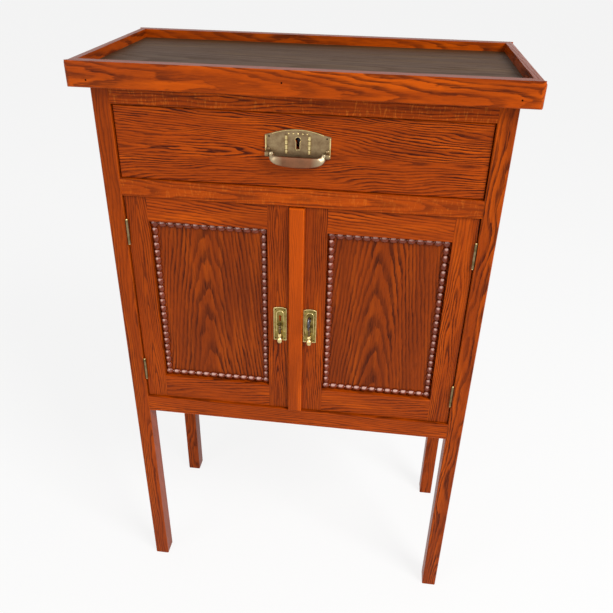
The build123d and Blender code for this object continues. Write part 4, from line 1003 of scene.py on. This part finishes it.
class CABINET_OT_door_fittings(bpy.types.Operator):
    """Door plates with their raised borders and nails, drop pulls, key and locks"""

    bl_idname = "cabinet.door_fittings"
    bl_label = "Door fittings"

    def execute(self, context):
        look, sizes = context.scene.cabinet_finish, context.scene.cabinet_fittings
        _, bright, iron = plate_metals(look)
        yellow = metal("old_brass_door_plate", linear("#A08E50"), linear("#6A5428"), 0.5, 0.009, 0.34, 0.0012)
        steel = metal("dark_steel", tuple(look.steel_colour), linear("#33302E"), 0.5, 0.006, 0.26, 0.0008)
        # The eye and stem are given a darker brass than the collar and bell.
        stem_brass = metal(
            "dark_brass_stem", linear("#7A6247"), linear("#43331F"), 0.5, 0.006, 0.34, 0.001
        )
        dress(yellow, "right_door_plate")
        dress(
            steel, "drawer_lock_case", "drawer_lock_bolt", "door_lock_case", "door_lock_bolt", "lock_strike",
            "slide_bolt_plate", "slide_bolt_bar",
        )
        faced(self.pierced_plate(), yellow, "left_door", "plate_brass", "left_door_plate")
        for door, x in DOOR_PLATE_MIDDLES.items():
            lines = RaisedLines(x, DOOR_PLATE_FACE, 0)
            top = [(-10.1, 629.4), (-5, 630.8), (0, 631.2), (5, 630.8), (10.1, 629.4)]
            lines.draw([(-10.1, 568.9), *top, (10.1, 568.9)], 0.8)
            lines.draw([(-10.1, 568.9), (10.1, 568.9)], 0.6)
            arch = [(6.2 * cos(a * pi / 12), 618.2 + 6.4 * sin(a * pi / 12)) for a in range(13)]
            lines.draw([(6.2, 585.0), *arch, (-6.2, 585.0)], 0.75)
            seated(lines.grow(f"{door}_plate_raised_lines", bright), f"{door}_door", "plate_brass")
            spots = [
                (x + side * 7.6 * MM, DOOR_PLATE_FACE, z) for side in (-1, 1) for z in (0.6268, 0.5722)
            ]
            nails = studs(f"{door}_plate_nails", spots, sizes.nail_radius, 0.35 * MM, iron)
            seated(nails, f"{door}_door", "plate_brass")
            stem, bell = self.drop(door, (x, DROP_PIVOT_Y, DROP_PIVOT_Z))
            faced(stem, stem_brass, f"{door}_drop", "plate_brass", f"{door}_door_drop_pull")
            faced(bell, bright, f"{door}_drop", "plate_brass")
        faced(self.key(), steel, "key", "lock_steel", "door_key")
        return {"FINISHED"}

    def pierced_plate(self):
        """The left plate with its keyhole, behind which there is only wood."""
        form = bmesh.new()
        form.from_mesh(NODES["left_door_plate"].data)
        plate = flat_faced(meshed("left_plate_pierced", form))
        head = [(2.5 * cos(a * pi / 12), 2.5 * sin(a * pi / 12)) for a in range(-2, 15)]
        outline = [(1.7, -8.5), (1.7, -1.83), *head, (-1.7, -1.83), (-1.7, -8.5)]
        x = DOOR_PLATE_MIDDLES["left"]
        # The cutter passes right through the plate, which is 1.2 mm thick.
        rings = [
            [Vector((x + a * MM, y, KEYHOLE_HEIGHT + b * MM)) for a, b in outline] for y in (-0.1300, -0.1270)
        ]
        cutter = shell("cutter", rings)
        opening = plate.modifiers.new("Keyhole", "BOOLEAN")
        opening.object = cutter
        graph = bpy.context.evaluated_depsgraph_get()
        mesh = bpy.data.meshes.new_from_object(plate.evaluated_get(graph))
        plate.modifiers.remove(opening)
        plate.data = mesh
        bpy.data.objects.remove(cutter)
        return plate

    def drop(self, door, pivot):
        """A drop pull in two parts: the dark eye and stem, and the bright collar and bell."""
        down = (0, 0, -1)
        eye = hoop("eye", pivot, (0, 0, 1), BACK, (1.95 * MM, 1.95 * MM), 0.85 * MM, 28, 12, 1.9)
        stem_profile = [(2.0, 0.0), (2.2, 1.6), (3.6, 2.1), (8.0, 2.35), (12.0, 2.1), (14.4, 1.7), (14.6, 0.0)]
        stem = turned("stem", stem_profile, pivot, down)
        bell_profile = [
            (13.8, 0.0), (14.0, 2.2), (14.5, 3.2), (15.3, 3.6), (16.0, 3.3), (16.5, 2.8), (17.0, 3.3),
            (17.8, 3.6), (18.6, 3.3), (19.2, 2.5), (20.0, 2.1), (21.2, 2.2), (22.2, 3.0), (23.2, 4.0),
            (24.6, 4.5), (27.0, 4.6), (29.4, 4.4), (31.0, 3.7), (31.9, 2.2), (32.1, 0.0),
        ]
        bell = turned(f"{door}_drop_bell", bell_profile, pivot, down)
        return joined(f"{door}_drop_stem", eye, stem), bell

    def key(self):
        """The key: an oval bow on a round stem with a collar, and its bit inside the lock."""
        x, z = DOOR_PLATE_MIDDLES["right"], KEYHOLE_HEIGHT
        bow = hoop("bow", (x, -0.1442, z), (0, 0, 1), BACK, (10.2 * MM, 7.2 * MM), 1.8 * MM, 44, 14, 0.9)
        profile = [
            (-0.2, 0.0), (0.0, 1.8), (1.0, 2.6), (2.0, 2.9), (3.0, 2.5), (3.6, 2.0), (24.8, 2.0), (25.0, 1.6),
            (25.0, 0.0),
        ]
        stem = turned("stem", profile, (x, -0.1362, z), BACK, 24)
        _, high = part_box("door_key")
        size = Vector((2.4, 3.0, 8.0)) * MM
        centre = Vector((x, high.y - size.y / 2, z - size.z / 2))
        form = bmesh.new()
        bmesh.ops.create_cube(form, size=1.0)
        for vertex in form.verts:
            vertex.co = centre + vertex.co * size
        return joined("door_key_turned", bow, stem, flat_faced(meshed("bit", form)))


class CABINET_OT_hinges(bpy.types.Operator):
    """Hinge leaves with their ball finials"""

    bl_idname = "cabinet.hinges"
    bl_label = "Hinges"

    def execute(self, context):
        look = context.scene.cabinet_finish
        radius = context.scene.cabinet_fittings.finial_radius
        brass = tuple(look.brass_colour)
        hinge = metal("drawn_brass_hinge", brass, linear("#5A4A28"), 0.45, 0.008, 0.28, 0.001)
        _, bright, _ = plate_metals(look)
        dress(hinge, "frame_hinge_leaves", "hinge_pins", "left_door_hinge_leaves", "right_door_hinge_leaves")
        balls = {"root": [], "left_door": [], "right_door": []}
        for foot in HINGE_FEET:
            for side, door in ((-1, "left_door"), (1, "right_door")):
                balls["root"].append(((side * HINGE_X, HINGE_Y, foot), (0, 0, -1)))
                balls[door].append(((side * HINGE_X, HINGE_Y, foot + HINGE_HEIGHT), (0, 0, 1)))
        for body, places in balls.items():
            spots, aims = zip(*places)
            values = {"Radius": radius, "Finish": bright}
            seated(
                grown(f"{body}_hinge_balls", finial_tree(), spots, values, aims=aims), body, "hinge_brass"
            )
        return {"FINISHED"}


class CABINET_OT_fastenings(bpy.types.Operator):
    """Screws in the hinges, locks and slide bolt, and the filled nail marks in the front lipping"""

    bl_idname = "cabinet.fastenings"
    bl_label = "Screws and nail marks"

    def execute(self, context):
        sizes = context.scene.cabinet_fittings
        tree = screw_tree()
        brass = metal("brass_screw", linear("#B49A5C"), linear("#6A5734"), 0.45, 0.004, 0.32, 0.0008)
        iron = metal("iron_screw", linear("#6A655E"), linear("#2E2926"), 0.5, 0.004, 0.36, 0.0008)
        screws = {"root": [], "left_door": [], "right_door": []}
        for foot in HINGE_FEET:
            for up in (0.006, 0.020, 0.034):
                for side, door in ((-1, "left_door"), (1, "right_door")):
                    screws["root"].append(((side * 0.2684, -0.1192, foot + up), (-side, 0, 0)))
                    screws[door].append(((side * 0.2681, -0.1192, foot + up), (side, 0, 0)))
        for body, places in screws.items():
            spots, aims = zip(*places)
            values = {"Radius": sizes.screw_radius, "Rise": 0.1 * MM, "Seed": 0, "Finish": brass}
            seated(grown(f"{body}_hinge_screws", tree, spots, values, aims=aims), body, "hinge_brass")
        # For each group: its body, the face it is in, its places across and up, and its radius in mm
        groups = {
            "right_door_lock_screws": ("right_door", -0.1095, (-7.3, 34.3), (596.2, 631.8), 1.9),
            "drawer_lock_screws": ("drawer", -0.1080, (-20.5, 20.5), (893.5, 939.5), 2.0),
            "slide_bolt_screws": ("left_door", -0.1075, (-35.4, -23.6), (760.2, 798.4), 1.35),
        }
        for name, (body, y, xs, zs, radius) in groups.items():
            spots = [(a * MM, y, b * MM) for a in xs for b in zs]
            values = {"Radius": radius * MM, "Rise": 0.25 * MM, "Seed": 3, "Finish": iron}
            seated(grown(name, tree, spots, values, aims=[BACK] * len(spots)), body, "lock_steel")
        filler = metal("nail_filler", linear("#2A1208"), linear("#1A0A05"), 0.4, 0.003, 0.6, 0.0008)
        marks = [(x, LIPPING_FACE, z) for x, z in ((-0.2894, 0.9820), (-0.0194, 0.9901), (0.2914, 0.9825))]
        seated(studs("lipping_nail_marks", marks, 1.3 * MM, 0.12 * MM, filler), "root", "oak")
        return {"FINISHED"}


def shown_rays(tree):
    """1 for rays that show the background: from the camera, or through gloss or glass."""
    paths = add_node(tree, "ShaderNodeLightPath", out=None).outputs
    shown = paths["Is Camera Ray"]
    for name in ("Is Glossy Ray", "Is Transmission Ray"):
        shown = add_node(tree, "ShaderNodeMath", {0: shown, 1: paths[name]}, operation="MAXIMUM")
    return shown


class CABINET_OT_stage(bpy.types.Operator):
    """Pale floor, soft light and the camera"""

    bl_idname = "cabinet.stage"
    bl_label = "Stage"

    def execute(self, context):
        settings = context.scene.cabinet_stage
        self.floor(context.scene, settings.floor_size / 2)
        self.light(context.scene, settings)
        self.camera(context.scene)
        context.scene.view_settings.view_transform = "Standard"
        return {"FINISHED"}

    def floor(self, scene, half):
        """A pale painted floor that shows nearly white and still takes the cabinet's shadow."""
        mesh = bpy.data.meshes.new("floor")
        corners = [(-half, -half, 0), (half, -half, 0), (half, half, 0), (-half, half, 0)]
        mesh.from_pydata(corners, [], [(0, 1, 2, 3)])
        floor = bpy.data.objects.new("floor", mesh)
        scene.collection.objects.link(floor)
        # Matt paint, mottled over a third of a metre.
        paint, tree = blank("pale_floor_paint")
        add = partial(add_node, tree)
        place = add("ShaderNodeTexCoord", out="Object")
        mottle = add("ShaderNodeTexNoise", {"Vector": place, "Scale": 3.0, "Detail": 3.0})
        tone = add(
            "ShaderNodeMix",
            {"Factor": mottle, 6: opaque(linear("#F4F3F1")), 7: opaque(linear("#F8F8F7"))},
            out=2,
            data_type="RGBA",
        )
        matt = add("ShaderNodeBsdfDiffuse", {"Color": tone})
        white = add("ShaderNodeEmission", {"Color": (1, 1, 1, 1), "Strength": 1.0})
        share = add("ShaderNodeMath", {0: shown_rays(tree), 1: 0.85}, operation="MULTIPLY")
        mixed = add("ShaderNodeMixShader", {0: share, 1: matt, 2: white})
        add("ShaderNodeOutputMaterial", {0: mixed}, out=None)
        mesh.materials.append(paint)

    def light(self, scene, settings):
        """Even light all round, a large soft lamp at the upper right and a weak one at the left."""
        world = bpy.data.worlds.new("room")
        scene.world = world
        world.use_nodes = True
        tree = world.node_tree
        tree.nodes.clear()
        add = partial(add_node, tree)
        even = add("ShaderNodeBackground", {"Color": (1, 1, 1, 1), "Strength": settings.sky_strength})
        white = add("ShaderNodeBackground", {"Color": (1, 1, 1, 1), "Strength": 1.0})
        mixed = add("ShaderNodeMixShader", {0: shown_rays(tree), 1: even, 2: white})
        add("ShaderNodeOutputWorld", {0: mixed}, out=None)
        lamps = [
            ("key_lamp", (1.9, -1.6, 2.7), 1.3, settings.key_power),
            ("fill_lamp", (-2.0, -2.4, 1.5), 1.8, settings.key_power * 0.25),
        ]
        aim = Vector((0, 0, 0.6))
        for name, place, size, power in lamps:
            data = bpy.data.lights.new(name, "AREA")
            data.shape = "SQUARE"
            data.size = size
            data.energy = power
            lamp = bpy.data.objects.new(name, data)
            lamp.location = place
            lamp.rotation_euler = (aim - Vector(place)).to_track_quat("-Z", "Y").to_euler()
            scene.collection.objects.link(lamp)

    def camera(self, scene):
        """The photograph's view, solved from the cabinet's straight edges."""
        data = bpy.data.cameras.new("camera")
        data.sensor_width = 36.0
        data.lens = 38.866
        camera = bpy.data.objects.new("camera", data)
        eye, target = Vector((0.1239, -1.0420, 1.1807)), Vector((-0.0197, 0.1855, 0.4500))
        roll = 0.02111
        forward = (target - eye).normalized()
        level = forward.cross(Vector((0, 0, 1))).normalized()
        upright = level.cross(forward)
        right = level * cos(roll) + upright * sin(roll)
        up = upright * cos(roll) - level * sin(roll)
        rows = [[right[i], up[i], -forward[i], eye[i]] for i in range(3)] + [[0, 0, 0, 1]]
        camera.matrix_world = Matrix(rows)
        scene.collection.objects.link(camera)
        scene.camera = camera


class CABINET_PT_panel(bpy.types.Panel):
    """Settings and steps of the cabinet"""

    bl_label = "Hallway cabinet"
    bl_idname = "CABINET_PT_panel"
    bl_space_type = "VIEW_3D"
    bl_region_type = "UI"
    bl_category = "Cabinet"

    def draw(self, context):
        for group in SETTINGS:
            box = self.layout.box()
            settings = getattr(context.scene, group)
            for name in settings.__annotations__:
                box.prop(settings, name)
        for step in STEPS:
            self.layout.operator(step.bl_idname)


SETTINGS = {
    "cabinet_finish": CabinetFinish,
    "cabinet_beading": CabinetBeading,
    "cabinet_fittings": CabinetFittings,
    "cabinet_stage": CabinetStage,
}
STEPS = (
    CABINET_OT_carcass,
    CABINET_OT_drawer,
    CABINET_OT_doors,
    CABINET_OT_beading,
    CABINET_OT_drawer_pull,
    CABINET_OT_door_fittings,
    CABINET_OT_hinges,
    CABINET_OT_fastenings,
    CABINET_OT_stage,
)


def register():
    for kind in (*SETTINGS.values(), *STEPS, CABINET_PT_panel):
        bpy.utils.register_class(kind)
    for name, kind in SETTINGS.items():
        setattr(bpy.types.Scene, name, PointerProperty(type=kind))


def unregister():
    for name in SETTINGS:
        delattr(bpy.types.Scene, name)
    for kind in reversed((*SETTINGS.values(), *STEPS, CABINET_PT_panel)):
        bpy.utils.unregister_class(kind)


def main():
    register()
    for step in STEPS:
        group, name = step.bl_idname.split(".")
        getattr(getattr(bpy.ops, group), name)()


if __name__ == "__main__":
    main()
